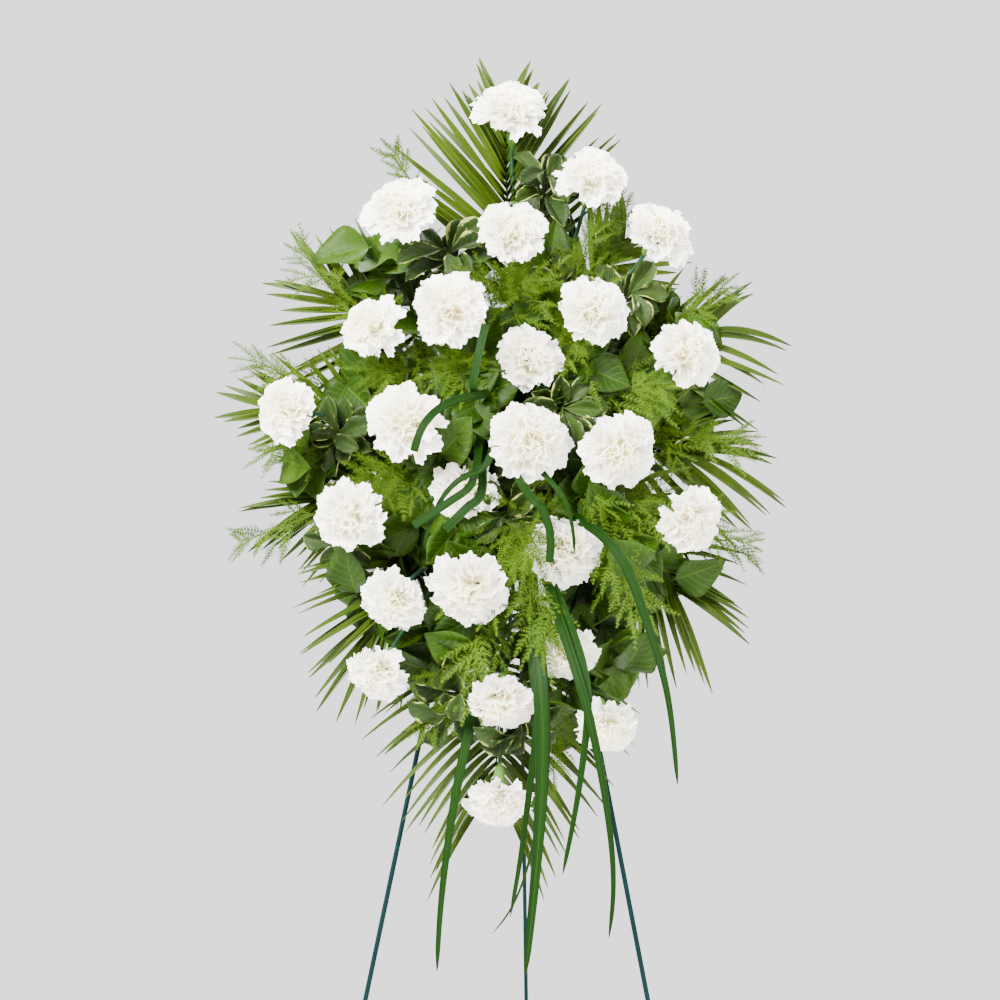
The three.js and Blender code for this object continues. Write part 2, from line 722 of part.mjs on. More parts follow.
// A frond along a line, with those of its leaflets that are clear, some of them shortened to be so.
function frond(node, line, kind) {
  const { place, length } = frondSurface(line, kind);
  const spacing = length / (kind.pairs + 0.5);
  const sides = [1, -1].map((sign) =>
    pairSpots(length, kind.pairs).map((spot, pair) => {
      const share = (pair + 0.5) / kind.pairs;
      const slant = THREE.MathUtils.degToRad(THREE.MathUtils.lerp(...kind.slant, share));
      const full = kind.length * (0.7 + 0.3 * Math.sin(Math.PI * Math.min(1, share + 0.2)));
      const leaflet = SHORTENED.map((cut) =>
        leafletOutline(spot, sign, slant, full * cut, kind, spacing),
      ).find((cut) => isClear(plate(cut, place), node));
      return leaflet ?? [[spot, (sign * kind.rib) / 2]];
    }),
  );
  const half = kind.rib / 2;
  const endLeaflet = (reach) => [
    [length, half],
    ...(kind.belly ? [[length + 0.4 * reach, kind.width / 2]] : []),
    [length + reach, 0],
    ...(kind.belly ? [[length + 0.4 * reach, -kind.width / 2]] : []),
    [length, -half],
  ];
  const reach = SHORTENED.map((cut) => kind.endShare * cut * kind.length).find((long) =>
    isClear(plate(endLeaflet(long), place), node),
  );
  const end = endLeaflet(reach ?? 4);
  const outline = [];
  const edges = [[], []];
  const cells = [];
  for (const run of [[[-RIB_SUNK, half]], ...sides[0], end, ...sides[1].reverse(), [[-RIB_SUNK, -half]]]) {
    const cell = run.map((point) => outline.push(point) - 1);
    for (const i of new Set([cell[0], cell.at(-1)])) edges[outline[i][1] > 0 ? 0 : 1].push(i);
    if (cell.length > 1) cells.push(cell);
  }
  return plate(outline, place, cells, stripBetween(outline, edges[0], edges[1].reverse()));
}

const PALM = {
  joint: 3, // point of the stem's line where the leaflets start
  rib: 2.6,
  thickness: 1.8,
  edge: 0.9,
  width: 7,
  belly: 0.4, // share of a leaflet's length where it is widest
  endShare: 0.5, // of a leaflet's length, for the one at the end
  rise: 0.22,
  droop: 0.0028,
};
const PALMS = [
  { name: "frond_top", across: -8, up: 1388, pairs: 9, length: 132, slant: [46, 24] },
  { name: "frond_upper_right", across: 112, up: 1262, pairs: 6, length: 84, slant: [52, 26] },
  { name: "frond_right_upper", across: 196, up: 1172, pairs: 6, length: 108, slant: [58, 24] },
  {
    name: "fronds_right",
    seatWay: [200, 1000],
    across: 186, up: 1048,
    pairs: 6, length: 108, slant: [52, 22],
  },
  {
    name: "fronds_right",
    seatWay: [200, 1000],
    across: 160, up: 912,
    pairs: 6, length: 112, slant: [54, 22],
  },
  { name: "frond_bottom", across: -18, up: 712, pairs: 9, length: 172, slant: [54, 22] },
  {
    name: "fronds_left",
    seatWay: [-200, 960],
    across: -150, up: 892,
    pairs: 6, length: 108, slant: [52, 22],
  },
  {
    name: "fronds_left",
    seatWay: [-200, 960],
    across: -196, up: 1000,
    pairs: 6, length: 104, slant: [50, 22],
  },
  { name: "frond_left_upper", across: -236, up: 1092, pairs: 6, length: 100, slant: [58, 24] },
  { name: "frond_upper_left", across: -176, up: 1206, pairs: 6, length: 104, slant: [58, 24] },
];
const PALM_OUT = [52, 36]; // of every other frond
const PALM_SEAT = [22, 80];
const PALM_TAPER = [1, 1, 0.85, 0.65];

// Leaves are added once every stem is in place.
const waiting = {};

PALMS.forEach((palm, i) => {
  const node = "palm_" + palm.name;
  const kind = { ...PALM, ...palm };
  const line = plant(node, "palm", kind, (turn) => {
    const [across, up] = swung(palm.across, palm.up, turn);
    const end = at(across, up, PALM_OUT[i % 2]);
    const way = at(...(palm.seatWay ?? [across, up]), 0).applyMatrix4(CAGE_FRAME_BACK);
    const angle = Math.atan2(way.y, way.x);
    const seat = new THREE.Vector3(
      PALM_SEAT[0] * Math.cos(angle),
      PALM_SEAT[1] * Math.sin(angle),
      LAYER.palm,
    );
    const radial = end.clone().sub(at(0, SPRAY_HEIGHT, PALM_OUT[i % 2])).normalize();
    return stemLine(seat, exitSideways(seat, end, 0), end, radial, 6);
  });
  addTo(node, stemRoom(line, "palm", kind));
  const radii = PALM_TAPER.map((share) => share * STEM_RADIUS.palm);
  waiting[node] ??= { stems: [], leaves: [] };
  waiting[node].stems.push(tube(line.slice(0, kind.joint + 1), radii, STEM_SIDES.palm));
  waiting[node].leaves.push(() => frond(node, line.slice(kind.joint), kind));
});

// Lily grass: each blade by the places it passes, right, up and out

const GRASS = [
  { node: "lily_grass_hanging", seat: [8, -50], blades: [
    [[-30, 800, 110], [-48, 710, 98], [-60, 600, 80], [-62, 528, 70]],
    [[26, 840, 165], [30, 740, 150], [22, 620, 110], [12, 526, 85]],
    [[38, 800, 140], [36, 740, 130], [30, 650, 110], [22, 586, 95]],
    [[62, 850, 190], [88, 770, 185], [112, 640, 140], [108, 568, 115]],
    [[94, 850, 190], [102, 775, 182], [100, 700, 150], [94, 636, 125]],
    [[100, 960, 215], [130, 885, 200], [154, 810, 175], [163, 718, 150]],
    [[14, 780, 95], [16, 680, 85], [-8, 600, 70], [-34, 567, 60]],
  ] },
  { node: "lily_grass_arching", seat: [-10, 48], blades: [
    [[-30, 1104, 200], [-60, 1100, 222], [-88, 1078, 240], [-98, 1048, 235]],
    [[-24, 1034, 215], [-50, 1026, 225], [-76, 1000, 220], [-92, 956, 205]],
    [[28, 1010, 220], [44, 1004, 225], [60, 980, 222], [66, 952, 208]],
    [[52, 1026, 215], [66, 1014, 225], [80, 990, 222], [88, 966, 208]],
    [[-12, 1130, 190], [-30, 1146, 200], [-30, 1170, 200], [-10, 1196, 190]],
  ] },
];
const GRASS_WIDTH = 8;
const GRASS_THICKNESS = 1.3;
const GRASS_STEPS = 5;

for (const { node, seat, blades } of GRASS) {
  const start = new THREE.Vector3(...seat, LAYER.front);
  crushFoam(start, "grass");
  for (const places of blades) {
    for (let attempt = 0; attempt < 3 * NUDGES; attempt++) {
      const turn = nudgeOf(attempt % NUDGES) / 2;
      const lift = 12 * Math.floor(attempt / NUDGES);
      const passed = places.map(([across, up, out]) => at(...swung(across, up, turn), out + lift));
      const exit = exitFront(start, passed[0], 2 * turn);
      const [from, leave] = [start, exit].map((p) => inCage(p.x, p.y, p.z));
      const along = leave.clone().sub(from).normalize();
      const free = leave.clone().addScaledVector(along, STEM_STRAIGHT);
      const line = [free, ...new THREE.CatmullRomCurve3([free, ...passed]).getPoints(GRASS_STEPS).slice(1)];
      const widths = line.map((_, k) => (k === 0 ? 2 : k === GRASS_STEPS ? 0 : GRASS_WIDTH));
      line[0] = free.clone().addScaledVector(along, -1);
      const strap = blade(line, widths, GRASS_THICKNESS, FORWARD);
      const solid = joined([tube([from, free], STEM_RADIUS.grass, STEM_SIDES.grass), strap]);
      if (!isClear(solid, node)) continue;
      drillHole([from, free], "grass");
      addTo(node, solid);
      break;
    }
  }
}

// Lemon leaf and pittosporum: a tuft of leaves round the end of each stem

const LEMON_LEAF = {
  type: "lemonLeaf",
  spread: 0.9,
  width: 42,
  thickness: 1.6,
  fold: 0.16,
  droop: 0.12,
  wave: 1.2,
  outline: [[0, 0], [0.14, 0.08], [0.45, 1], [1, 0]],
};
const PITTOSPORUM = {
  type: "pittosporum",
  spread: 0.5,
  width: 20,
  thickness: 1.5,
  fold: 0.2,
  droop: 0.1,
  wave: 0.8,
  outline: [[0, 0], [0.34, 0.6], [0.74, 1], [1, 0]],
};

// Each tuft: how far right, up and out it is, and the number and length of its leaves.
const TUFTS = [
  { node: "lemon_leaf_left", seat: [-14, 6], kind: LEMON_LEAF, tufts: [
    [-150, 1262, 80, 5, 66],
    [-172, 1118, 80, 4, 62],
    [-236, 1040, 70, 3, 50],
    [-96, 972, 100, 4, 66],
    [-158, 902, 85, 3, 58],
    [-84, 828, 85, 3, 60],
  ] },
  { node: "lemon_leaf_right", seat: [14, 6], kind: LEMON_LEAF, tufts: [
    [178, 1192, 75, 3, 54],
    [126, 1126, 95, 3, 60],
    [190, 1098, 70, 2, 56],
    [160, 918, 85, 3, 62],
    [122, 826, 90, 4, 70],
    [58, 782, 90, 3, 60],
    [36, 1236, 80, 3, 56],
  ] },
  { node: "pittosporum_left", seat: [-14, 18], kind: PITTOSPORUM, tufts: [
    [-68, 1254, 120, 5, 46],
    [-70, 1128, 125, 5, 44],
    [-184, 1066, 105, 5, 42],
    [-186, 950, 90, 5, 40],
    [-62, 776, 110, 5, 46],
  ] },
  { node: "pittosporum_right", seat: [14, 18], kind: PITTOSPORUM, tufts: [
    [34, 1336, 95, 5, 46],
    [120, 1212, 100, 5, 42],
    [48, 1216, 120, 4, 38],
    [-8, 756, 105, 5, 44],
  ] },
  { node: "pittosporum_centre", seat: [26, 34], kind: PITTOSPORUM, front: true, tufts: [
    [50, 1092, 165, 7, 46],
    [-14, 978, 150, 5, 42],
  ] },
  { node: "lemon_leaf_centre", seat: [-26, 22], kind: LEMON_LEAF, front: true, tufts: [
    [-30, 1150, 140, 3, 54],
    [-38, 1104, 140, 3, 54],
    [66, 1138, 140, 3, 54],
    [-74, 1040, 150, 3, 54],
    [72, 996, 150, 3, 54],
    [100, 900, 140, 4, 54],
    [4, 880, 140, 3, 52],
  ] },
];

for (const { node, seat, kind, front, tufts } of TUFTS) {
  const type = kind.type;
  const start = new THREE.Vector3(...seat, front ? LAYER.front : LAYER[type]);
  const exitOf = front ? exitFront : exitSideways;
  crushFoam(start, type);
  const leaves = [];
  tufts.forEach(([right, high, out, count, length], i) => {
    const line = plant(node, type, undefined, (turn) => {
      const [across, up] = swung(right, high, turn);
      const end = at(across, up, out);
      const exit = exitOf(start, end, front ? FRONT_NUDGE * turn : 0);
      return stemLine(start, exit, end, outlook(across, up, TILT_PER_MM * 2.2), STEM_STEPS);
    });
    if (!line) return;
    const thinner = (k) => (k < 2 ? 1 : 1 - (0.5 * (k - 1)) / (line.length - 2));
    const radii = line.map((_, k) => STEM_RADIUS[type] * thinner(k));
    addTo(node, tube(line, radii, STEM_SIDES[type]));
    const random = seeded(100 * (i + 1) + high);
    const look = outlook(right, high, TILT_PER_MM);
    const side = anySide(look);
    const other = look.clone().cross(side);
    for (let k = 0; k < count; k++) {
      const root = line.at(-1).clone().lerp(line.at(-2), 0.04 + kind.spread * (k / count));
      const [jitter, lift, size] = [random(), random(), random()];
      leaves.push((attempt) => {
        const turn = (2 * Math.PI * (k + 0.4 * jitter)) / count + i + 0.35 * attempt;
        const fan = side
          .clone()
          .multiplyScalar(Math.cos(turn))
          .addScaledVector(other, Math.sin(turn))
          .addScaledVector(look, 0.25 + 0.2 * lift)
          .normalize();
        return leaf(root, fan, look, { ...kind, length: length * (0.85 + 0.3 * size) });
      });
    }
  });
  waiting[node] = { stems: [], leaves, tries: 9 };
}

// Fern: each spray by how far right, up and out its end is, and the length of its twigs

const FERN = {
  joint: 2,
  rib: 1.6,
  thickness: 1.4,
  edge: 0.9,
  width: 5,
  rise: 0.1,
  droop: 0.004,
  pairs: 4,
  endShare: 0.6,
  slant: [60, 34],
};
const FERNS = [
  { node: "fern_left", seat: [-14, -6], sprays: [
    [-100, 1378, 90, 38],
    [-200, 1256, 90, 40],
    [-250, 1150, 85, 40],
    [-240, 1052, 95, 36],
    [-268, 944, 75, 42],
    [-84, 776, 105, 36],
  ] },
  { node: "fern_right", seat: [14, -6], sprays: [
    [132, 1276, 95, 38],
    [208, 1216, 90, 36],
    [224, 1062, 105, 40],
    [232, 956, 95, 40],
    [40, 734, 95, 34],
  ] },
  { node: "fern_centre_top", seat: [0, 88], front: true, sprays: [
    [4, 1212, 150, 34],
    [52, 1164, 150, 32],
    [-132, 1130, 150, 36],
    [136, 1122, 150, 36],
    [-56, 1140, 160, 30],
  ] },
  { node: "fern_centre_bottom", seat: [-26, -34], front: true, sprays: [
    [-136, 1018, 150, 36],
    [132, 994, 155, 36],
    [16, 962, 180, 32],
    [30, 868, 160, 34],
    [88, 880, 155, 32],
    [-64, 832, 140, 34],
  ] },
];

for (const { node, seat, front, sprays } of FERNS) {
  const start = new THREE.Vector3(...seat, front ? LAYER.front : LAYER.fern);
  const exitOf = front ? exitFront : exitSideways;
  crushFoam(start, "fern");
  waiting[node] = { stems: [], leaves: [] };
  for (const [right, high, out, length] of sprays) {
    const line = plant(node, "fern", FERN, (turn) => {
      const [across, up] = swung(right, high, turn);
      const end = at(across, up, out);
      const exit = exitOf(start, end, front ? FRONT_NUDGE * turn : 0);
      return stemLine(start, exit, end, outlook(across, up, TILT_PER_MM * 2.4), FERN.joint + 2);
    });
    if (!line) continue;
    addTo(node, stemRoom(line, "fern", FERN));
    waiting[node].stems.push(tube(line.slice(0, FERN.joint + 1), STEM_RADIUS.fern, STEM_SIDES.fern));
    waiting[node].leaves.push(() => frond(node, line.slice(FERN.joint), { ...FERN, length }));
  }
}

placed.set(
  "foam_block",
  cageBox([-halfWidth, -halfHeight, TRAY_WALL + GAP], [halfWidth, halfHeight, FOAM.depth]),
);
const LEAVES_MAY_SHARE = 15; // cubic millimetres of two leaves of one tuft, at their roots

for (const [node, { stems, leaves, tries = 1 }] of Object.entries(waiting)) {
  const kept = [];
  const apart = (leaf) => kept.every((other) => leaf.intersect(other).volume() < LEAVES_MAY_SHARE);
  for (const make of leaves) {
    for (let attempt = 0; attempt < tries; attempt++) {
      const solid = make(attempt);
      if (tries > 1 && !(isClear(solid, node) && apart(solid))) continue;
      kept.push(solid);
      break;
    }
  }
  const all = joined([...(stems.length ? stems : [placed.get(node)]), ...kept]);
  placed.set(node, all.decompose().sort((a, b) => b.volume() - a.volume())[0]);
}

// Foam, with a hole for each stem
placed.set("foam_block", placed.get("foam_block").subtract(joined(holes)));

// Colours and finishes
const finish = (color, roughness, metalness = 0) =>
  new THREE.MeshStandardMaterial({ color, roughness, metalness });
const FINISHES = [
  [/^(front_leg|rear_leg|hinge_bar|crossbar)/, finish(0x1c4644, 0.45, 0.3)],
  [/^carnation_\d/, finish(0xf4f1e8, 0.8)],
  [/^carnation_stems/, finish(0x4f7f5e, 0.6)],
  [/^palm/, finish(0x4c7a1e, 0.5)],
  [/^lemon/, finish(0x4f9a1a, 0.4)],
  [/^pittosporum/, finish(0x55774a, 0.45)],
  [/^fern/, finish(0x77b62a, 0.7)],
  [/^lily/, finish(0x2f6a2b, 0.45)],
  [/^foam_block/, finish(0x2f6b3c, 0.95)],
  [/^foam_cage/, finish(0x1f5a33, 0.5)],
  [/^cage_tie/, finish(0x1a2a1c, 0.5)],
];

function meshOf(name, solid) {
  const { vertProperties, triVerts, numProp } = solid.getMesh();
  const positions = new Float32Array((vertProperties.length / numProp) * 3);
  for (let i = 0; i * numProp < vertProperties.length; i++)
    positions.set(vertProperties.subarray(i * numProp, i * numProp + 3), i * 3);
  const geometry = new THREE.BufferGeometry();
  geometry.setAttribute("position", new THREE.BufferAttribute(positions, 3));
  geometry.setIndex(new THREE.BufferAttribute(triVerts, 1));
  const mesh = new THREE.Mesh(geometry, FINISHES.find(([pattern]) => pattern.test(name))[1]);
  mesh.name = name;
  return mesh;
}

const spray = new THREE.Group();
for (const [name, solid] of placed) spray.add(meshOf(name, solid));

// The middle of the whole is the origin, on the floor.
const MIDDLE = new THREE.Vector3(-10.5, 21.8, 0);
spray.position.copy(MIDDLE).negate();

export default spray;
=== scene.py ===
"""A standing funeral spray: white carnations and greens in caged wet foam, on a folding wire easel."""

import math
import random

import bpy
from mathutils import Matrix, Vector
from mathutils.bvhtree import BVHTree


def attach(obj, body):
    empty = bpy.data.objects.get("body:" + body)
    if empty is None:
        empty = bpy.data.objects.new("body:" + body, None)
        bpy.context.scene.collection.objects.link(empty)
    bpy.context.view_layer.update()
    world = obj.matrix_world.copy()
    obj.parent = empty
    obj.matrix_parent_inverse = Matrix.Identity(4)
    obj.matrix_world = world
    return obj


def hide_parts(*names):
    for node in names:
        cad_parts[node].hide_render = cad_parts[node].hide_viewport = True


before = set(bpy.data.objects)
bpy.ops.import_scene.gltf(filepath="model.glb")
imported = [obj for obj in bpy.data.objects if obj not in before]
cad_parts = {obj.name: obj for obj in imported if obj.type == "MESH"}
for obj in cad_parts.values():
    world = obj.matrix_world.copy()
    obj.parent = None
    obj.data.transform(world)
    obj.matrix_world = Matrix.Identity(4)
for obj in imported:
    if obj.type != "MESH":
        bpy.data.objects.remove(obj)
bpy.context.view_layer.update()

BODY = "spray_on_stand"

# The view
# The picture is taken from the front, a little from the flowers' right, with a long lens from far
# off. Its frame is one metre wide at the flowers.
VIEW_TURN = math.radians(3)
CAMERA_AWAY = 8.0
CAMERA_HEIGHT = 1.0
FRAME_WIDTH = 1.0
SENSOR = 36.0
FRAME_SHIFT = -0.0037
FAR_END = 40  # of what the camera sees
FLOWERS_AHEAD = 0.19  # of the middle between the easel's feet

FORWARD = Vector((math.sin(VIEW_TURN), -math.cos(VIEW_TURN), 0))
ACROSS = Vector((math.cos(VIEW_TURN), math.sin(VIEW_TURN), 0))


def link(obj):
    bpy.context.scene.collection.objects.link(obj)
    return obj


camera = link(bpy.data.objects.new("camera", bpy.data.cameras.new("camera")))
bpy.context.scene.camera = camera
camera.data.sensor_width = SENSOR
camera.data.lens = SENSOR * CAMERA_AWAY / FRAME_WIDTH
camera.data.clip_end = FAR_END
FRAME_CENTRE = Vector((FRAME_SHIFT, 0, CAMERA_HEIGHT)) + FORWARD * FLOWERS_AHEAD
camera.location = FRAME_CENTRE + FORWARD * CAMERA_AWAY
camera.rotation_euler = (math.pi / 2, 0, VIEW_TURN)


# Wire easel
# Three rods of painted steel wire, two crossbars and a short hinge bar, welded at the back of the
# front legs. The CAD has them at their size, so they stay, and get their paint here.
class Wire:
    """What one socket gives, so that sums on it read as sums."""

    def __init__(self, tree, socket):
        self.tree = tree
        self.socket = socket

    def sum(self, operation, *values):
        return self.tree.add("ShaderNodeMath", *values, operation=operation)

    __add__ = __radd__ = lambda self, other: self.sum("ADD", self, other)
    __sub__ = lambda self, other: self.sum("SUBTRACT", self, other)
    __rsub__ = lambda self, other: self.sum("SUBTRACT", other, self)
    __mul__ = __rmul__ = lambda self, other: self.sum("MULTIPLY", self, other)
    __truediv__ = lambda self, other: self.sum("DIVIDE", self, other)
    __pow__ = lambda self, other: self.sum("POWER", self, other)
    __neg__ = lambda self: self * -1

    def beyond(self, start, end):
        """0 before start and 1 after end, with a soft step between them."""
        return self.tree.add("ShaderNodeMapRange", self, start, end, interpolation_type="SMOOTHSTEP")

    def __getattr__(self, operation):
        """sine, absolute, fract and the like, by the name of the Math node's operation."""
        return lambda *values: self.sum(operation.upper(), self, *values)


class Tree:
    """A node tree that is written down one node at a time."""

    def __init__(self, nodes):
        self.nodes = nodes

    def add(self, kind, *values, output=None, **named):
        """A node with values for its first sockets in use, its settings, and other sockets in capitals."""
        node = self.nodes.nodes.new(kind)
        sockets = {name.replace("_", " "): value for name, value in named.items() if name[0].isupper()}
        for name in named:
            if name[0].islower():
                setattr(node, name, named[name])
        for socket, value in zip([socket for socket in node.inputs if socket.enabled], values):
            self.feed(socket, value)
        for name, value in sockets.items():
            self.feed(node.inputs[name], value)
        return Wire(self, node.outputs[output] if output else next(o for o in node.outputs if o.enabled))

    def feed(self, socket, value):
        if isinstance(value, Wire):
            self.nodes.links.new(value.socket, socket)
        elif isinstance(value, (list, tuple)) and any(isinstance(v, Wire) for v in value):
            self.feed(socket, self.add("ShaderNodeCombineXYZ", *value))
        elif socket.type == "RGBA" and len(value) == 3:
            socket.default_value = (*value, 1)
        else:
            socket.default_value = value

    def blend(self, factor, one, other):
        """One colour turning into another as factor goes from 0 to 1."""
        return self.add("ShaderNodeMix", factor, one, other, data_type="RGBA")

    def place(self):
        return self.add("ShaderNodeTexCoord", output="Object")

    def noise(self, scale, detail=3, roughness=0.5, vector=None):
        """Soft noise, laid out by a vector or else by the place on the object."""
        vector = vector or self.place()
        return self.add("ShaderNodeTexNoise", vector, Scale=scale, Detail=detail, Roughness=roughness)

    def attribute(self, name):
        return self.add("ShaderNodeAttribute", attribute_name=name, output="Fac")


class Finish(Tree):
    """A material: its own shader, with what stays the same all over set on the shader's sockets."""

    def __init__(self, name, **constants):
        self.material = bpy.data.materials.new(name)
        self.material.use_nodes = True
        super().__init__(self.material.node_tree)
        self.shader = self.nodes.nodes["Principled BSDF"]
        for socket, value in constants.items():
            self.shader.inputs[socket.replace("_", " ").title().replace("Ior", "IOR")].default_value = value

    def surface(self, color, roughness, height=None, distance=0.001, strength=1.0):
        self.feed(self.shader.inputs["Base Color"], color)
        self.feed(self.shader.inputs["Roughness"], roughness)
        if height:
            bumps = self.add("ShaderNodeBump", Height=height, Distance=distance, Strength=strength)
            self.feed(self.shader.inputs["Normal"], bumps)
        return self

    def lets_through(self, share, color):
        """Some of the light goes through a thin petal or leaf, and takes its color."""
        glow = self.add("ShaderNodeBsdfTranslucent", color)
        mixed = self.add("ShaderNodeMixShader", share, Wire(self, self.shader.outputs[0]), glow)
        self.feed(self.nodes.nodes["Material Output"].inputs["Surface"], mixed)


def finish_nodes(finish, *nodes):
    for node in nodes:
        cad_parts[node].data.materials.clear()
        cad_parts[node].data.materials.append(finish.material)


def wire_paint():
    paint = Finish("easel_paint", specular_ior_level=0.02)
    worn = paint.noise(90, 4, 0.6).beyond(0.56, 0.7)
    tone = paint.blend(paint.noise(14), (0.0008, 0.006, 0.0058), (0.0016, 0.011, 0.0104))
    color = paint.blend(worn * 0.5, tone, (0.004, 0.017, 0.015))
    return paint.surface(color, 0.45 + 0.25 * worn, paint.noise(700, 2), 0.0001)


EASEL = ("front_leg_left", "front_leg_right", "rear_leg", "hinge_bar", "crossbar_upper", "crossbar_lower")
finish_nodes(wire_paint(), *EASEL)


# Foam, cage and ties
# A block of wet floral foam holds the stems. It sits in a moulded cage of a tray with two straps,
# and two plastic ties hold the cage's staples to the crossbars.
def wet_foam():
    foam = Finish("wet_foam", specular_ior_level=0.3)
    pore = foam.add("ShaderNodeTexVoronoi", foam.place(), Scale=900.0)
    soaked = foam.noise(25, 4, 0.6)
    dry = foam.blend(soaked, (0.0042, 0.0215, 0.0035), (0.0095, 0.036, 0.006))
    color = foam.blend(pore.beyond(0.1, 0.6), (0.0065, 0.03, 0.005), dry)
    return foam.surface(color, 0.75 + 0.2 * soaked, pore, 0.0006)


def moulded_plastic(name, dark, light, gloss):
    plastic = Finish(name, specular_ior_level=0.12)
    cloud = plastic.noise(30)
    color = plastic.blend(cloud, dark, light)
    return plastic.surface(color, gloss + 0.15 * cloud, plastic.noise(900, 2), 0.00008)


cage_plastic = moulded_plastic("cage_plastic", (0.0015, 0.0118, 0.0037), (0.0037, 0.0207, 0.0067), 0.35)
tie_plastic = moulded_plastic("tie_plastic", (0.0059, 0.0148, 0.0074), (0.0104, 0.0237, 0.0118), 0.4)
finish_nodes(wet_foam(), "foam_block")
finish_nodes(cage_plastic, "foam_cage")
finish_nodes(tie_plastic, "cage_tie_upper", "cage_tie_lower")


# Carnation stems
# Each flower is cut with its stem, which is pushed into the foam. The stem is round, waxy and
# blue-green, with a pale swollen joint every few centimetres, and ends in a cup with five teeth.
MM = 0.001
X_AXIS = Vector((1, 0, 0))
Z_AXIS = Vector((0, 0, 1))
MIDDLE = Vector((-10.5, 21.8, 0))  # of the whole, from under the easel's apex
APEX_HEIGHT = 1206
FEET_AHEAD = 210
SPRAY_HEIGHT = 1060
FOAM_HALF_WIDTH = 50
FOAM_HALF_HEIGHT = 120
FOAM_DEPTH = 90
STRAPS_AT = (-70, 70)
STRAP_CLEAR = 7.5
STEM_STRAIGHT = 9
STEM_STEPS = 12
STEM_POINTS = STEM_STEPS + 2
STEM_STEP = 5
BEND_REACH = 0.38  # of the distance from the foam to a stem's end
LOOK_PER_MM = 0.15  # degrees that a flower turns outwards for each millimetre from the middle
TRAY_OUT = 2.8  # of the easel's plane
STEEPEST_EXIT = 0.9
# The stems of each kind end in a layer of the foam, this far from its back.
LAYER = {"palm": 12, "lemon": 19, "pittosporum": 26, "fern": 32, "carnation": 39, "front": 48}
# A stem that a CAD node follows is looked for among ways that are turned by these.
TURNS = [math.radians(3) * math.ceil(i / 2) * (1 if i % 2 else -1) for i in range(21)]
UP_EASEL = Vector((0, FEET_AHEAD, APEX_HEIGHT)).normalized()
OUT_OF_EASEL = X_AXIS.cross(UP_EASEL)


def easel_ahead(up):
    """How far the front legs' plane is ahead of the apex, at a height."""
    return FEET_AHEAD * (1 - up / APEX_HEIGHT)


TRAY_BACK = Vector((0, -easel_ahead(SPRAY_HEIGHT), SPRAY_HEIGHT)) + OUT_OF_EASEL * TRAY_OUT - MIDDLE


def at(across, up, out):
    """A place of the arrangement, in millimetres: right, up, and out of the easel's plane."""
    return ACROSS * across + FORWARD * (easel_ahead(up) + out) + Z_AXIS * up - MIDDLE


def in_foam(u, v, w):
    return TRAY_BACK + X_AXIS * u + UP_EASEL * v + OUT_OF_EASEL * w


def way_from(seat, target):
    """The target as seen from a seat in the foam: across, up and out of it."""
    away = target - in_foam(*seat)
    return away.dot(X_AXIS), away.dot(UP_EASEL), away.dot(OUT_OF_EASEL)


def off_straps(v):
    for strap in STRAPS_AT:
        if abs(v - strap) < STRAP_CLEAR:
            return strap + (-STRAP_CLEAR if v < strap else STRAP_CLEAR)
    return v


def exit_from(seat, target, front, turn):
    """Where a stem leaves the foam: by its front, which it may be turned about, or by a side."""
    right, up, out = way_from(seat, target)
    angle = math.atan2(up, right) + turn
    du, dv = math.cos(angle), math.sin(angle)
    if front:
        reach = (FOAM_DEPTH - seat[2]) * min(STEEPEST_EXIT, math.hypot(right, up) / max(out, 1))
    else:
        to_side = (math.copysign(FOAM_HALF_WIDTH, du) - seat[0]) / du
        reach = min(to_side, (math.copysign(FOAM_HALF_HEIGHT, dv) - seat[1]) / dv)
    u, v = seat[0] + du * reach, seat[1] + dv * reach
    clear = off_straps(v) if front or abs(u) > FOAM_HALF_WIDTH - 0.01 else v
    return (u, clear, FOAM_DEPTH if front else seat[2])


def stem_line(seat, leave, end, heading):
    """A stem: straight from its seat out of the foam, then in one bend to its end."""
    start, free = in_foam(*seat), in_foam(*leave)
    way = (free - start).normalized()
    free += way * STEM_STRAIGHT
    reach = (end - free).length * BEND_REACH
    a, b, c, d = free, free + way * reach, end - heading * reach, end
    line = [start]
    for i in range(STEM_STEPS + 1):
        t = i / STEM_STEPS
        line.append(a * (1 - t) ** 3 + b * 3 * t * (1 - t) ** 2 + c * 3 * t * t * (1 - t) + d * t**3)
    return line


def swung(across, up, turn):
    """A place of the arrangement turned about the foam's middle."""
    rise = up - SPRAY_HEIGHT
    return (
        across * math.cos(turn) - rise * math.sin(turn),
        SPRAY_HEIGHT + across * math.sin(turn) + rise * math.cos(turn),
    )


def outlook(across, up, per_mm):
    """Which way a flower or leaf looks: forward, and outwards from the middle."""
    radial = ACROSS * across + Z_AXIS * (up - SPRAY_HEIGHT)
    tilt = min(radial.length * math.radians(per_mm), math.pi / 2)
    return FORWARD * math.cos(tilt) + radial.normalized() * math.sin(tilt)


def any_side(way):
    return way.cross(Z_AXIS if abs(way.z) < 0.9 else X_AXIS).normalized()


surfaces = {}


def distance_to(node, points):
    """How far some points are from a CAD node, together."""
    if node not in surfaces:
        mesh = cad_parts[node].data
        corners = [v.co for v in mesh.vertices]
        surfaces[node] = BVHTree.FromPolygons(corners, [p.vertices for p in mesh.polygons])
    return sum(surfaces[node].find_nearest(p * MM)[3] for p in points) / MM


def nearest(node, lines):
    """The one of these lines that a CAD node follows."""
    return min(lines, key=lambda line: distance_to(node, line))


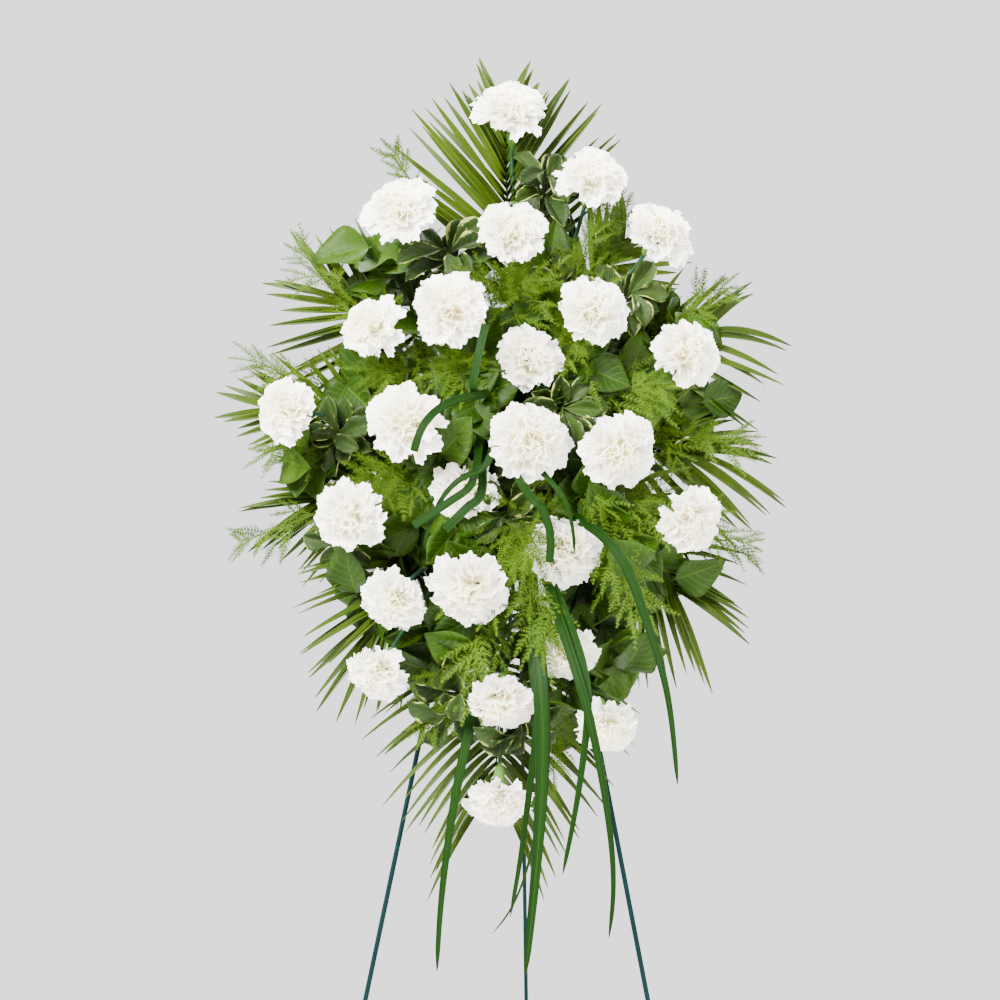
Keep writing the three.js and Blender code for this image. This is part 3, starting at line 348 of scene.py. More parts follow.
def points_piece(name, points, edges=(), faces=(), **attributes):
    """A mesh of bare points, lines or faces, with a value of each kind at each point."""
    mesh = bpy.data.meshes.new(name)
    mesh.from_pydata([p * MM for p in points], edges, faces)
    for attribute, values in attributes.items():
        vector = isinstance(values[0], Vector)
        kind = "FLOAT_VECTOR" if vector else "INT" if isinstance(values[0], int) else "FLOAT"
        data = mesh.attributes.new(attribute, kind, "POINT").data
        flat = [c for v in values for c in v] if vector else values
        data.foreach_set("vector" if vector else "value", flat)
    return link(bpy.data.objects.new(name, mesh))


def lines_piece(name, lines, **attributes):
    """The same for several lines of points. Each attribute is a list of values for each line."""
    edges, count = [], 0
    for line in lines:
        edges += [(count + i, count + i + 1) for i in range(len(line) - 1)]
        count += len(line)
    joined = {a: [v for values in each for v in values] for a, each in attributes.items()}
    return points_piece(name, [p for line in lines for p in line], edges, **joined)


class Rule(Tree):
    """A tree of geometry nodes with named inputs, which makes a whole piece from a bare one."""

    def __init__(self, name, **kinds):
        super().__init__(bpy.data.node_groups.new(name, "GeometryNodeTree"))
        face = self.nodes.interface
        face.new_socket("Geometry", in_out="INPUT", socket_type="NodeSocketGeometry")
        face.new_socket("Geometry", in_out="OUTPUT", socket_type="NodeSocketGeometry")
        for kind, sizes in {**kinds, "Material": ["Material"]}.items():
            for size in sizes:
                face.new_socket(size, in_out="INPUT", socket_type="NodeSocket" + kind)
        self.entry = self.nodes.nodes.new("NodeGroupInput")

    def size(self, name):
        return Wire(self, self.entry.outputs[name])

    def named(self, name, kind="FLOAT"):
        return self.add("GeometryNodeInputNamedAttribute", name, data_type=kind)

    def random(self, low, high, seed):
        return self.add("FunctionNodeRandomValue", low, high, Seed=seed, data_type="FLOAT")

    def vector(self, operation, *values):
        return self.add("ShaderNodeVectorMath", *values, operation=operation)

    def scaled(self, vector, factor):
        return self.add("ShaderNodeVectorMath", vector, Scale=factor, operation="SCALE")

    def turned(self, way, face):
        """The turn that lays a piece's length along way and its front towards face."""
        return self.add("FunctionNodeAxesToRotation", way, face, primary_axis="X", secondary_axis="Z")

    def instances(self, points, shapes, which, rotation, scale):
        one = self.add("GeometryNodeCollectionInfo", shapes, Separate_Children=True, Reset_Children=True)
        turn = {"Instance_Index": which, "Rotation": rotation, "Scale": scale}
        return self.add("GeometryNodeInstanceOnPoints", points, Instance=one, Pick_Instance=True, **turn)

    def tinted(self, copies, tint):
        """Copies that keep a tint each."""
        kind = {"data_type": "FLOAT", "domain": "INSTANCE"}
        return self.add("GeometryNodeStoreNamedAttribute", copies, Name="tint", Value=tint, **kind)

    def line(self):
        return self.add("GeometryNodeMeshToCurve", self.size("Geometry"))

    def tube(self, line, sides, radius):
        section = self.add("GeometryNodeCurvePrimitiveCircle", sides, Radius=1.0, mode="RADIUS")
        return self.add("GeometryNodeCurveToMesh", line, section, Scale=radius, Fill_Caps=True)

    def joined(self, *parts):
        node = self.nodes.nodes.new("GeometryNodeJoinGeometry")
        for part in parts:
            self.nodes.links.new(part.socket, node.inputs[0])
        return Wire(self, node.outputs[0])

    def real(self, copies):
        return self.add("GeometryNodeRealizeInstances", copies)

    def end(self, geometry):
        smooth = self.add("GeometryNodeSetShadeSmooth", self.real(geometry))
        done = self.add("GeometryNodeSetMaterial", smooth, Material=self.size("Material"))
        self.nodes.links.new(done.socket, self.nodes.nodes.new("NodeGroupOutput").inputs[0])
        return self


def grown(bare, rule, finish, **sizes):
    """The plain mesh that a rule makes of a bare piece, under the same name."""
    modifier = bare.modifiers.new("rule", "NODES")
    modifier.node_group = rule.nodes
    values = {**{k.replace("_", " "): v for k, v in sizes.items()}, "Material": finish.material}
    for socket in rule.nodes.interface.items_tree:
        if socket.name in values:
            modifier[socket.identifier] = values[socket.name]
    bpy.context.view_layer.update()
    graph = bpy.context.evaluated_depsgraph_get()
    mesh = bpy.data.meshes.new_from_object(bare.evaluated_get(graph), depsgraph=graph)
    bare.modifiers.clear()
    bare.data = mesh
    for attribute in ("way", "face", "size", "kind"):
        if attribute in mesh.attributes:
            mesh.attributes.remove(mesh.attributes[attribute])
    return bare


def stand_for(piece, slot, *nodes):
    """The finished piece rides on the stand in place of its CAD nodes."""
    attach(piece, BODY)
    if nodes:
        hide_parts(*nodes)
    return piece


rule = Rule("round_stem", Int=["Sides"])
round_stem = rule.end(rule.tube(rule.line(), rule.size("Sides"), rule.named("size")))


def stems_piece(name, lines, radii, finish, sides, **values):
    """Round stems along some lines, with the radius of each in millimetres at each of its points."""
    sizes = [[radius * MM for radius in each] for each in radii]
    return grown(lines_piece(name, lines, size=sizes, **values), round_stem, finish, Sides=sides)


# Each flower: how far right and up it is, its width, how deep it sits and its stem's group.
CARNATIONS = [
    (-1, 1399, 74, 0, "right_top"), (82, 1328, 70, 0, "right_top"), (-115, 1295, 74, 0, "left_top"),
    (150, 1272, 68, 0, "right_top"), (0, 1272, 68, 0, "left_top"), (-63, 1195, 80, 0, "centre"),
    (-143, 1175, 64, 0, "left_top"), (81, 1191, 68, 0, "centre"), (175, 1148, 70, 0, "right_top"),
    (16, 1143, 70, 30, "centre"), (-229, 1091, 68, 0, "left_top"), (-108, 1078, 76, 0, "centre"),
    (18, 1058, 82, 0, "centre"), (106, 1049, 76, 0, "centre"), (-49, 1009, 66, 40, "centre"),
    (-165, 984, 72, 0, "left_bottom"), (178, 979, 66, 0, "right_bottom"),
    (53, 947, 70, 30, "centre"), (-45, 908, 78, 0, "centre"), (-119, 898, 64, 0, "left_bottom"),
    (-136, 825, 64, 0, "left_bottom"), (56, 843, 62, 30, "right_bottom"),
    (-12, 796, 68, 0, "left_bottom"), (96, 770, 64, 0, "right_bottom"),
    (-15, 695, 68, 0, "right_bottom"),
]
STEM_SEATS = {
    "left_top": (-12, 32, LAYER["carnation"]),
    "right_top": (12, 36, LAYER["carnation"]),
    "left_bottom": (-12, -36, LAYER["carnation"]),
    "right_bottom": (12, -32, LAYER["carnation"]),
    "centre": (0, 0, LAYER["front"]),
}
DOME_RISE = 205
DOME_FALL = 105
DOME_REACH = 360
CALYX_TOP = -0.7  # of half the flower's width, from its middle along its stem
CALYX_LENGTH = 24
CALYX_SHAPE = ((0, 2.3), (0.1, 4.4), (0.35, 5.6), (0.7, 6.0), (1.0, 6.6))
CALYX_STEPS = 7
CALYX_CLEAR = 0.3
TEETH = 5
TOOTH_SIZE = Vector((11, 6.5, 11))
TOOTH_OUT = 5.4
TOOTH_SUNK = 1.5
TOOTH_LEAN = 0.42
STEM_RADIUS = 2.1
JOINT_EVERY = 58
JOINT_HALF = 5
JOINT_SWELL = 1.3
BARE_BELOW_CUP = 10
STEM_SIDES = 10


def dome(across, up, deeper):
    """The middle of a flower, and the way it looks."""
    share = math.hypot(across, up - SPRAY_HEIGHT) / DOME_REACH
    out = DOME_RISE - DOME_FALL * share**2 - deeper
    return at(across, up, out), outlook(across, up, LOOK_PER_MM)


def stem_finish():
    stem = Finish("carnation_stem", specular_ior_level=0.2)
    bloom = stem.noise(60, 4, 0.6)
    waxy = stem.blend(bloom, (0.005, 0.022, 0.0095), (0.016, 0.048, 0.022))
    color = stem.blend(stem.attribute("pale"), waxy, (0.09, 0.19, 0.012))
    return stem.surface(color, 0.4 + 0.3 * bloom, stem.noise(500, 2), 0.0002)


def grid_faces(columns, rows):
    """The faces of a sheet whose points are listed row after row."""
    row = columns + 1
    corners = [j * row + i for j in range(rows) for i in range(columns)]
    return [(k, k + 1, k + row + 1, k + row) for k in corners]


def calyx_tooth():
    """One of the five teeth of a carnation's cup: a small pointed scale, bent outwards."""
    points = []
    for x, w in ((0, 1.0), (0.35, 0.92), (0.7, 0.5), (1, 0.02)):
        points += [Vector((x, side * w / 2, -0.12 * abs(side) * w + 0.18 * x * x)) for side in (-1, 0, 1)]
    return points, grid_faces(2, 3), {"pale": [0.9] * len(points)}


def shapes(name, *made):
    """A collection of the shapes that a rule picks from. It stays out of the scene."""
    collection = bpy.data.collections.new(name)
    for i, (points, faces, values) in enumerate(made):
        piece = points_piece(f"{name}_{i}", [p / MM for p in points], (), faces, **values)
        bpy.context.scene.collection.objects.unlink(piece)
        collection.objects.link(piece)
    return collection


def leaves_rule():
    """Leaves on points: each lies along way, with its front towards face, and is size large."""
    rule = Rule("leaves_on_points", Collection=["Shapes"])
    way, face, size = [rule.named(name, "FLOAT_VECTOR") for name in ("way", "face", "size")]
    points, leaves, kind = rule.size("Geometry"), rule.size("Shapes"), rule.named("kind", "INT")
    return rule.end(rule.instances(points, leaves, kind, rule.turned(way, face), size))


leaves_on_points = leaves_rule()


def leaves_piece(name, leaves, collection, finish):
    """A piece of leaves, each given as its root, way, face, size, kind and tint."""
    roots, ways, fronts, sizes, kinds, tints = map(list, zip(*leaves))
    sizes = [size * MM for size in sizes]
    bare = points_piece(name, roots, way=ways, face=fronts, size=sizes, kind=kinds, tint=tints)
    return grown(bare, leaves_on_points, finish, Shapes=collection)


def calyx_radius(share):
    for (low, small), (high, large) in zip(CALYX_SHAPE, CALYX_SHAPE[1:]):
        if share <= high:
            return small + (large - small) * (share - low) / (high - low)
    return CALYX_SHAPE[-1][1]


def measured(line):
    """How far along a line each of its points is."""
    run = [0.0]
    for one, other in zip(line, line[1:]):
        run.append(run[-1] + (other - one).length)
    return run


def resampled(line, step):
    """The same line with a point at every step."""
    run = measured(line)
    count = max(2, round(run[-1] / step))
    points, k = [], 0
    for i in range(count + 1):
        want = run[-1] * i / count
        while k + 2 < len(run) and run[k + 1] < want:
            k += 1
        points.append(line[k].lerp(line[k + 1], (want - run[k]) / (run[k + 1] - run[k])))
    return points


carnation_stem = stem_finish()
teeth = shapes("calyx_tooth", calyx_tooth())
blooms, stem_lines, tooth_list = [], {}, {}
for i, (across, up, width, deeper, group) in enumerate(CARNATIONS):
    centre, axis = dome(across, up, deeper)
    top = centre + axis * (width / 2 * CALYX_TOP - CALYX_CLEAR)
    base = top - axis * CALYX_LENGTH
    seat, front = STEM_SEATS[group], group == "centre"
    ways = [stem_line(seat, exit_from(seat, base, front, turn), base, axis) for turn in TURNS]
    line = resampled(nearest("carnation_stems_" + group, ways), STEM_STEP)
    line += [base.lerp(top, (k + 1) / CALYX_STEPS) for k in range(CALYX_STEPS)]
    stem_lines.setdefault(group, []).append(line)
    blooms.append((f"carnation_{i + 1:02d}", centre, axis, width / 2))
    for k in range(TEETH):
        out = Matrix.Rotation(math.tau * k / TEETH + i, 3, axis) @ any_side(axis)
        root, way = top - axis * TOOTH_SUNK + out * TOOTH_OUT, (axis + out * TOOTH_LEAN).normalized()
        tooth_list.setdefault(group, []).append((root, way, out, TOOTH_SIZE, 0, 0.5))

for group, lines in stem_lines.items():
    radii, pale = [], []
    for line in lines:
        run = measured(line)
        cup = run[-1] - CALYX_LENGTH
        joints = [abs((cup - r + JOINT_EVERY / 2) % JOINT_EVERY - JOINT_EVERY / 2) for r in run]
        bare = cup - BARE_BELOW_CUP
        swell = [max(0.0, 1 - j / JOINT_HALF) if r < bare else 0.0 for j, r in zip(joints, run)]
        stem = [STEM_RADIUS * (1 + (JOINT_SWELL - 1) * s) for s in swell]
        radii.append([calyx_radius((r - cup) / CALYX_LENGTH) if r > cup else w for r, w in zip(run, stem)])
        pale.append([0.45 if r > cup else s for r, s in zip(run, swell)])
    stems = stems_piece("stems_" + group, lines, radii, carnation_stem, STEM_SIDES, pale=pale)
    stand_for(stems, "carnation_stem", "carnation_stems_" + group)
    cups = leaves_piece("calyx_teeth_" + group, tooth_list[group], teeth, carnation_stem)
    stand_for(cups, "carnation_stem")


# Carnation blooms
# Each flower is a pompon of fan-shaped petals that all rise from its cup: crumpled and upright in
# the middle, broad and flat outside, with a ruffled edge cut in small teeth.
PETALS = 36
MIDDLE_TILT = 0.06
OUTER_TILT = 1.12
GOLDEN_ANGLE = math.radians(137.5)
PETAL_COLUMNS = 22
PETAL_ROWS = (0, 0.25, 0.42, 0.62, 0.82, 1.0)
PETAL_CLAW = 0.25  # of its length: the narrow foot, under the fan


def sides(points):
    """How far along and across its leaf each point is, from 0 to 1 and from -0.5 to 0.5."""
    return {"along": [p.x for p in points], "across": [p.y for p in points]}


def petal(spread, folds, depth, frill, cup, curl, phase):
    """A petal of length 1: its narrow foot at the origin, its front up, its fan waved and toothed."""
    points = []
    for v in PETAL_ROWS:
        fan = max(0.0, v - PETAL_CLAW) / (1 - PETAL_CLAW)
        for i in range(PETAL_COLUMNS + 1):
            u = 2 * i / PETAL_COLUMNS - 1
            turn = u * spread * (1 - 0.12 * fan)
            reach = fan * (1 - 0.07 * math.sin(3 * u + phase) ** 2)
            if v == 1:
                reach += 0.02 if i % 2 else -0.015
            x = min(v, PETAL_CLAW) + (1 - PETAL_CLAW) * reach * math.cos(turn)
            y = 0.045 * u * (1 - fan) + (1 - PETAL_CLAW) * reach * math.sin(turn)
            wave = math.sin(math.pi * folds * u + phase) * depth * fan**1.4
            edge = math.sin(math.pi * folds * 3.7 * u + 2.3 * phase) * frill * fan**1.6
            points.append(Vector((x, y, wave + edge + cup * y * y - curl * fan * fan)))
    return points, grid_faces(PETAL_COLUMNS, len(PETAL_ROWS) - 1), sides(points)


def bloom_rule():
    """Petals in a spiral, from the upright ones in the middle to the spread ones outside."""
    rule = Rule(
        "carnation_bloom",
        Collection=["Petals"],
        Int=["Petal Count", "Seed"],
        Float=["Half Width", "Middle Tilt", "Outer Tilt"],
    )
    half, seed = rule.size("Half Width"), rule.size("Seed")
    share = (rule.add("GeometryNodeInputIndex") + 0.5) / rule.size("Petal Count")
    angle = rule.add("GeometryNodeInputIndex") * GOLDEN_ANGLE + rule.random(-0.3, 0.3, seed)
    middle, outer = rule.size("Middle Tilt"), rule.size("Outer Tilt")
    tilt = middle + (outer - middle) * share**0.85 + rule.random(-0.14, 0.14, seed + 1)
    sine, cosine = tilt.sine(), tilt.cosine()
    right, up = angle.cosine(), angle.sine()
    roll = rule.random(-0.5, 0.5, seed + 2) * (1 - 0.6 * share)
    way = (sine * right, sine * up, cosine)
    face = (-(cosine * right) - up * roll, right * roll - cosine * up, sine)
    foot = half * (0.04 + 0.08 * share)
    place = (right * foot, up * foot, half * (0.12 * share - 0.56))
    size = half * (0.98 - 0.04 * share) * (1 + rule.random(-1.2, 0.9, seed + 3) * (0.04 + 0.12 * share))
    which = (share * 2.999).floor() * 2 + rule.random(0, 1.999, seed + 4).floor()
    points = rule.add("GeometryNodePoints", rule.size("Petal Count"), place)
    petals = rule.instances(points, rule.size("Petals"), which, rule.turned(way, face), size)
    return rule.end(rule.tinted(petals, share))


def petal_finish():
    petals = Finish("carnation_petal", sheen_weight=0.15, specular_ior_level=0.2)
    share = petals.attribute("tint")
    mottle = petals.noise(70)
    # Cream towards each petal's foot, most in the heart: painted shade of the creases between the petals,
    # and partly the hearts' own cream tint.
    deep = (1 - petals.attribute("along").beyond(0.45, 1.0)) * (1 - 0.65 * share)
    heart_cream_and_painted_shade = deep + (1 - share.beyond(0.05, 0.6)) * 0.2 + (mottle - 0.5) * 0.2
    white = petals.blend(mottle, (0.97, 0.975, 0.945), (0.99, 0.99, 0.965))
    color = petals.blend(heart_cream_and_painted_shade.maximum(0).minimum(1), white, (1.0, 0.905, 0.58))
    veins = (petals.attribute("across") * 70).sine() * 0.6 + mottle * 0.4
    petals.lets_through(0.75 - 0.45 * share, (1.0, 0.975, 0.86))
    return petals.surface(color, 0.7 + 0.1 * mottle, veins, 0.001, 0.7)


petals = shapes(
    "petal",
    petal(0.66, 1.3, 0.22, 0.05, 0.5, -0.1, 0.4),
    petal(0.6, 1.9, 0.18, 0.05, 0.2, 0.0, 1.7),
    petal(0.78, 1.5, 0.17, 0.05, 0.2, 0.1, 0.9),
    petal(0.82, 2.0, 0.15, 0.05, 0.1, 0.14, 2.6),
    petal(0.98, 1.3, 0.11, 0.045, 0.12, 0.2, 0.2),
    petal(0.9, 1.6, 0.11, 0.045, 0.05, 0.26, 2.1),
)
bloom_spiral = bloom_rule()
carnation_petal = petal_finish()
for i, (name, centre, axis, half) in enumerate(blooms):
    bare = points_piece(name + "_petals", [Vector()])
    tilts = {"Middle_Tilt": MIDDLE_TILT, "Outer_Tilt": OUTER_TILT}
    sizes = {"Petal_Count": PETALS, "Half_Width": half * MM, "Seed": 10 * i, **tilts}
    piece = grown(bare, bloom_spiral, carnation_petal, Petals=petals, **sizes)
    side = any_side(axis)
    turn = Matrix((side, axis.cross(side), axis)).transposed().to_4x4()
    piece.data.transform(Matrix.Translation(centre * MM) @ turn)
    stand_for(piece, "carnation_petal", name)


# Palm fronds
# Feather palm behind and round the flowers: a stalk that is pushed in the foam, and a tapered rib
# with a row of narrow folded leaflets on each side, which lean towards the tip and droop.

# Each frond: its node, how far right and up its tip is, its pairs of leaflets, their length, their
# slant at foot and tip, their sag, and where its stalk points if not at its tip.
PALMS = [
    ("frond_top", -8, 1388, 22, 160, (50, 20), 0.05, None),
    ("frond_upper_right", 112, 1262, 13, 100, (56, 26), 0.08, None),
    ("frond_right_upper", 196, 1172, 13, 138, (62, 20), 0.2, None),
    ("fronds_right", 186, 1048, 17, 138, (68, 12), 0.2, (200, 1000)),
    ("fronds_right", 160, 912, 18, 142, (74, 18), 0.16, (200, 1000)),
    ("frond_bottom", -18, 712, 25, 144, (100, 40), 0.28, None),
    ("fronds_left", -150, 892, 19, 150, (62, 8), 0.08, (-200, 960)),
    ("fronds_left", -196, 1000, 17, 126, (60, 12), 0.08, (-200, 960)),
    ("frond_left_upper", -236, 1092, 17, 108, (80, 8), 0.02, None),
    ("frond_upper_left", -176, 1206, 15, 130, (64, 18), 0.04, None),
]
PALM_OUT = (52, 36)
PALM_SEAT = (22, 80)
PALM_LEAFLETS = {"Leaflet_Width": 6.8 * MM, "Rib_Radius": 1.5 * MM, "Unevenness": 0.1}
PALM_STALK_RADIUS = 2.4
STALK_SIDES = 8
RIB_SIDES = 6
STALK_POINTS = 4
LEAFLET_RISE = 0.2
PALM_RIB_STEP = 6
PALM_TIP = 0.7  # of its longest leaflets are those at its tip
PALM_TOP_TIP = 0.55
LEAF_THICKNESS = 0.5


def narrow_leaf(widths, fold, droop, steps):
    """A leaf of length and width 1, folded along its middle and drooping, after a list of its widths."""
    points = []
    for i in range(steps + 1):
        x = i / steps
        k = min(int(x * (len(widths) - 1)), len(widths) - 2)
        share = x * (len(widths) - 1) - k
        half = (widths[k] + (widths[k + 1] - widths[k]) * share) / 2
        for side in (-1, 0, 1):
            points.append(Vector((x, side * half, fold * abs(side) * half - droop * x * x)))
    return points, grid_faces(2, steps), sides(points)


def frond_rule():
    """Leaflets in pairs along a rib, which get shorter and lean more towards its tip."""
    rule = Rule(
        "leaflets_along_rib",
        Collection=["Leaflets"],
        Int=["Pairs", "Seed"],
        Float=["Leaflet Width", "Slant at Foot", "Slant at Tip", "Rib Radius", "Sag", "Unevenness"],
    )
    seed, uneven = rule.size("Seed"), rule.size("Unevenness")
    rib = rule.line()
    spots = rule.add("GeometryNodeResampleCurve", rib, Count=rule.size("Pairs"))
    along = rule.add("GeometryNodeInputTangent")
    side = rule.vector("NORMALIZE", rule.vector("CROSS_PRODUCT", along, rule.named("face", "FLOAT_VECTOR")))
    front = rule.vector("CROSS_PRODUCT", side, along)
    share = rule.add("GeometryNodeSplineParameter")
    foot, tip = rule.size("Slant at Foot"), rule.size("Slant at Tip")
    rows = []
    for sign in (1, -1):
        slant = foot + (tip - foot) * share + rule.random(-1, 1, seed + sign) * uneven
        rise = LEAFLET_RISE * rule.random(0.5, 1.6, seed + 4 + sign)
        way = rule.vector("ADD", rule.scaled(along, slant.cosine()), rule.scaled(side, slant.sine() * sign))
        way = rule.vector("ADD", way, rule.scaled(front, rise))
        long = rule.named("size") * (1 - rule.random(0, 2, seed + 8 + sign) * uneven)
        scale = (long, rule.size("Leaflet Width"), long)
        which = rule.random(0, 2.999, seed + 12 + sign).floor()
        row = rule.instances(spots, rule.size("Leaflets"), which, rule.turned(way, front), scale)
        rows.append(rule.tinted(row, rule.random(0, 1, seed + 16 + sign)))
    radius = rule.size("Rib Radius") * (1 - 0.65 * share)
    sag = rule.named("along") ** 2 * rule.size("Sag")
    hung = rule.add("GeometryNodeSetPosition", rule.real(rule.joined(*rows)), Offset=(0.0, 0.0, -sag))
    return rule.end(rule.joined(hung, rule.tube(rib, RIB_SIDES, radius)))


frond_of = frond_rule()


def with_leaflets(bare, finish, leaflets, slants, **values):
    """Ribs with their leaflets, which slant by these degrees at the foot and at the tip."""
    foot, tip = map(math.radians, slants)
    values.update(Leaflets=leaflets, Slant_at_Foot=foot, Slant_at_Tip=tip)
    return grown(bare, frond_of, finish, **values)


def leaf_finish(name, deep, light, middle, stripes=0.0, gloss=0.4):
    """A strap or blade with a paler middle and fine ribs lengthwise. Its tint varies from leaf to leaf."""
    leaf = Finish(name, specular_ior_level=0.12)
    across = leaf.attribute("across").absolute()
    cloud = leaf.noise(22)
    tone = leaf.blend(leaf.attribute("tint") * 0.4 + cloud.beyond(0.3, 0.7) * 0.6, deep, light)
    color = leaf.blend((1 - across.beyond(0.0, 0.12)) * 0.6, tone, middle)
    ribs = (across * stripes).sine() if stripes else cloud
    return leaf.surface(color, gloss + 0.2 * cloud, ribs, 0.00006, 0.5)


def thickened(piece, thickness=LEAF_THICKNESS):
    """Leaves are sheets with a real thickness."""
    wall = piece.modifiers.new("thickness", "SOLIDIFY")
    wall.thickness = thickness * MM
    wall.offset = 0
    return piece


palm_leaflets = shapes(
    "palm_leaflet",
    narrow_leaf((0.4, 0.8, 1.0, 0.98, 0.84, 0.56, 0.04), 0.16, 0.2, 8),
    narrow_leaf((0.4, 0.85, 1.0, 0.94, 0.78, 0.5, 0.03), 0.1, 0.28, 8),
    narrow_leaf((0.4, 0.75, 0.96, 1.0, 0.9, 0.62, 0.05), 0.22, 0.14, 8),
)
PALM_GREENS = ((0.0079, 0.0224, 0.0002), (0.0307, 0.0543, 0.0005), (0.0433, 0.0638, 0.0014))
palm_leaf = leaf_finish("palm_leaf", *PALM_GREENS, 60, 0.34)
fronds = {}
for i, (name, across, up, pairs, length, slants, sag, seat_way) in enumerate(PALMS):
    node = "palm_" + name
    ways = []
    for turn in TURNS:
        right, high = swung(across, up, turn)
        end = at(right, high, PALM_OUT[i % 2])
        to_right, to_top, _ = way_from((0, 0, 0), at(*(seat_way or (right, high)), 0))
        angle = math.atan2(to_top, to_right)
        seat = (PALM_SEAT[0] * math.cos(angle), PALM_SEAT[1] * math.sin(angle), LAYER["palm"])
        heading = (end - at(0, SPRAY_HEIGHT, PALM_OUT[i % 2])).normalized()
        ways.append(stem_line(seat, exit_from(seat, end, False, 0), end, heading))
    line = nearest(node, ways)
    rib = resampled(line[STALK_POINTS - 1:], PALM_RIB_STEP)
    run = measured(rib)
    tip = PALM_TOP_TIP if name == "frond_top" else PALM_TIP
    sizes = [length * MM * (tip + (1 - tip) * math.sin(math.pi * min(1, r / run[-1] + 0.2))) for r in run]
    bare = lines_piece(f"{node}_leaflets_{i}", [rib], size=[sizes], face=[[FORWARD] * len(rib)])
    values = {"Pairs": pairs, "Sag": sag * length * MM, "Seed": 50 * i, **PALM_LEAFLETS}
    leaflets = with_leaflets(bare, palm_leaf, palm_leaflets, slants, **values)
    fronds.setdefault(node, []).append((leaflets, line[:STALK_POINTS]))
for node, made in fronds.items():
    radii = [[PALM_STALK_RADIUS] * STALK_POINTS for _ in made]
    stalks = stems_piece(node + "_stalk", [line for _, line in made], radii, palm_leaf, STALK_SIDES)
    stand_for(stalks, "palm_leaf", node)
    for leaflets, _ in made:
        stand_for(thickened(leaflets), "palm_leaf")


# Lemon leaf and pittosporum
# Sprigs of broad pointed leaves, bright and leathery, and of small blunt grey-green leaves with a
# cream edge, which stand in tufts round the ends of their woody stems.
def random_numbers(seed):
    """The same random numbers that spread the leaves of the CAD sprigs."""
    state = seed
    while True:
        state = (state * 1664525 + 1013904223) % 4294967296
        yield state / 4294967296


def broad_leaf(stalk, foot, tip, fold, droop, wave, columns=6, steps=12):
    """A leaf of length and width 1, with its stalk: waved, folded along its midrib, and drooping."""
    widest = foot / (foot + tip)
    points, edges = [], []
    for i in range(steps + 1):
        x = i / steps
        blade = max(0.0, x - stalk) / (1 - stalk)
        half = 0.5 * (blade / widest) ** foot * ((1 - blade) / (1 - widest)) ** tip
        half = max(0.025, half) if x < 1 else 0.0
        for j in range(columns + 1):
            u = 2 * j / columns - 1
            ripple = wave * math.sin(9 * x + 2 * u) * u * u * half
            points.append(Vector((x, u * half, fold * abs(u) ** 0.8 * half + ripple - droop * x * x)))
            edges.append(u)
    return points, grid_faces(columns, steps), {"edge": edges, "along": [p.x for p in points]}


def veined_leaf(name, deep, light, vein_color, veins, margin=None, gloss=0.4):
    """A broad leaf: a midrib, side veins that run forward to the edge, and perhaps a pale margin."""
    leaf = Finish(name, specular_ior_level=0.09)
    edge, along = leaf.attribute("edge").absolute(), leaf.attribute("along")
    cloud = leaf.noise(35, 4, 0.6)
    phase = (along * veins - edge * veins * 0.32).fract()
    side_vein = 1 - (phase - 0.5).absolute().beyond(0.0, 0.14)
    midrib = 1 - edge.beyond(0.0, 0.07)
    lines = midrib.maximum(side_vein * 0.55)
    tone = leaf.blend(leaf.attribute("tint") * 0.65 + cloud * 0.35, deep, light)
    color = leaf.blend(lines * 0.6, tone, vein_color)
    if margin:
        rim = (edge + (leaf.noise(75) - 0.5) * 1.6).beyond(0.96, 1.08)
        color = leaf.blend(rim * along.beyond(0.1, 0.3), color, margin)
    return leaf.surface(color, gloss + 0.2 * cloud, cloud * 0.5 - lines, 0.0006, 0.6)


WOOD_TONES = ((0.0071, 0.0118, 0.0019), (0.0166, 0.0213, 0.0038), (0.0142, 0.0166, 0.0038))
LEMON_GREENS = ((0.0019, 0.009, 0.0001), (0.0217, 0.0522, 0.0001), (0.0386, 0.0725, 0.0007))
PITTOSPORUM_GREENS = ((0.0032, 0.009, 0.0014), (0.0179, 0.035, 0.0043), (0.0287, 0.048, 0.0066))
PITTOSPORUM_MARGIN = (0.1598, 0.1812, 0.0426)
SPRIG_LEAN_PER_MM = 0.33
LOWER_LEAVES = (8, 11)  # of a sprig that leaves the foam by a side, or by its front
LOWER_LEAVES_FROM = 11  # points along the stem
woody = leaf_finish("leaf_stem", *WOOD_TONES, gloss=0.5)
LEMON = {
    "layer": "lemon",
    "spread": 0.9,
    "width": 44,
    "radius": 1.7,
    "slot": "lemon_leaf",
    "top": 0,
    "shapes": shapes(
        "lemon_leaf_shape",
        broad_leaf(0.1, 0.55, 0.95, 0.35, 0.14, 0.12),
        broad_leaf(0.1, 0.5, 0.85, 0.22, 0.22, 0.2),
        broad_leaf(0.1, 0.6, 1.0, 0.45, 0.06, 0.08),
    ),
    "finish": veined_leaf("lemon_leaf", *LEMON_GREENS, 8),
}
PITTOSPORUM = {
    "layer": "pittosporum",
    "spread": 0.5,
    "width": 20,
    "radius": 1.6,
    "slot": "pittosporum_leaf",
    "top": 4,
    "shapes": shapes(
        "pittosporum_shape",
        broad_leaf(0.06, 1.1, 0.5, 0.4, 0.16, 0.1, 6, 9),
        broad_leaf(0.06, 1.2, 0.42, 0.3, 0.26, 0.2, 6, 9),
        broad_leaf(0.06, 1.0, 0.55, 0.55, 0.06, 0.14, 6, 9),
    ),
    "finish": veined_leaf("pittosporum_leaf", *PITTOSPORUM_GREENS, 6, PITTOSPORUM_MARGIN),
}
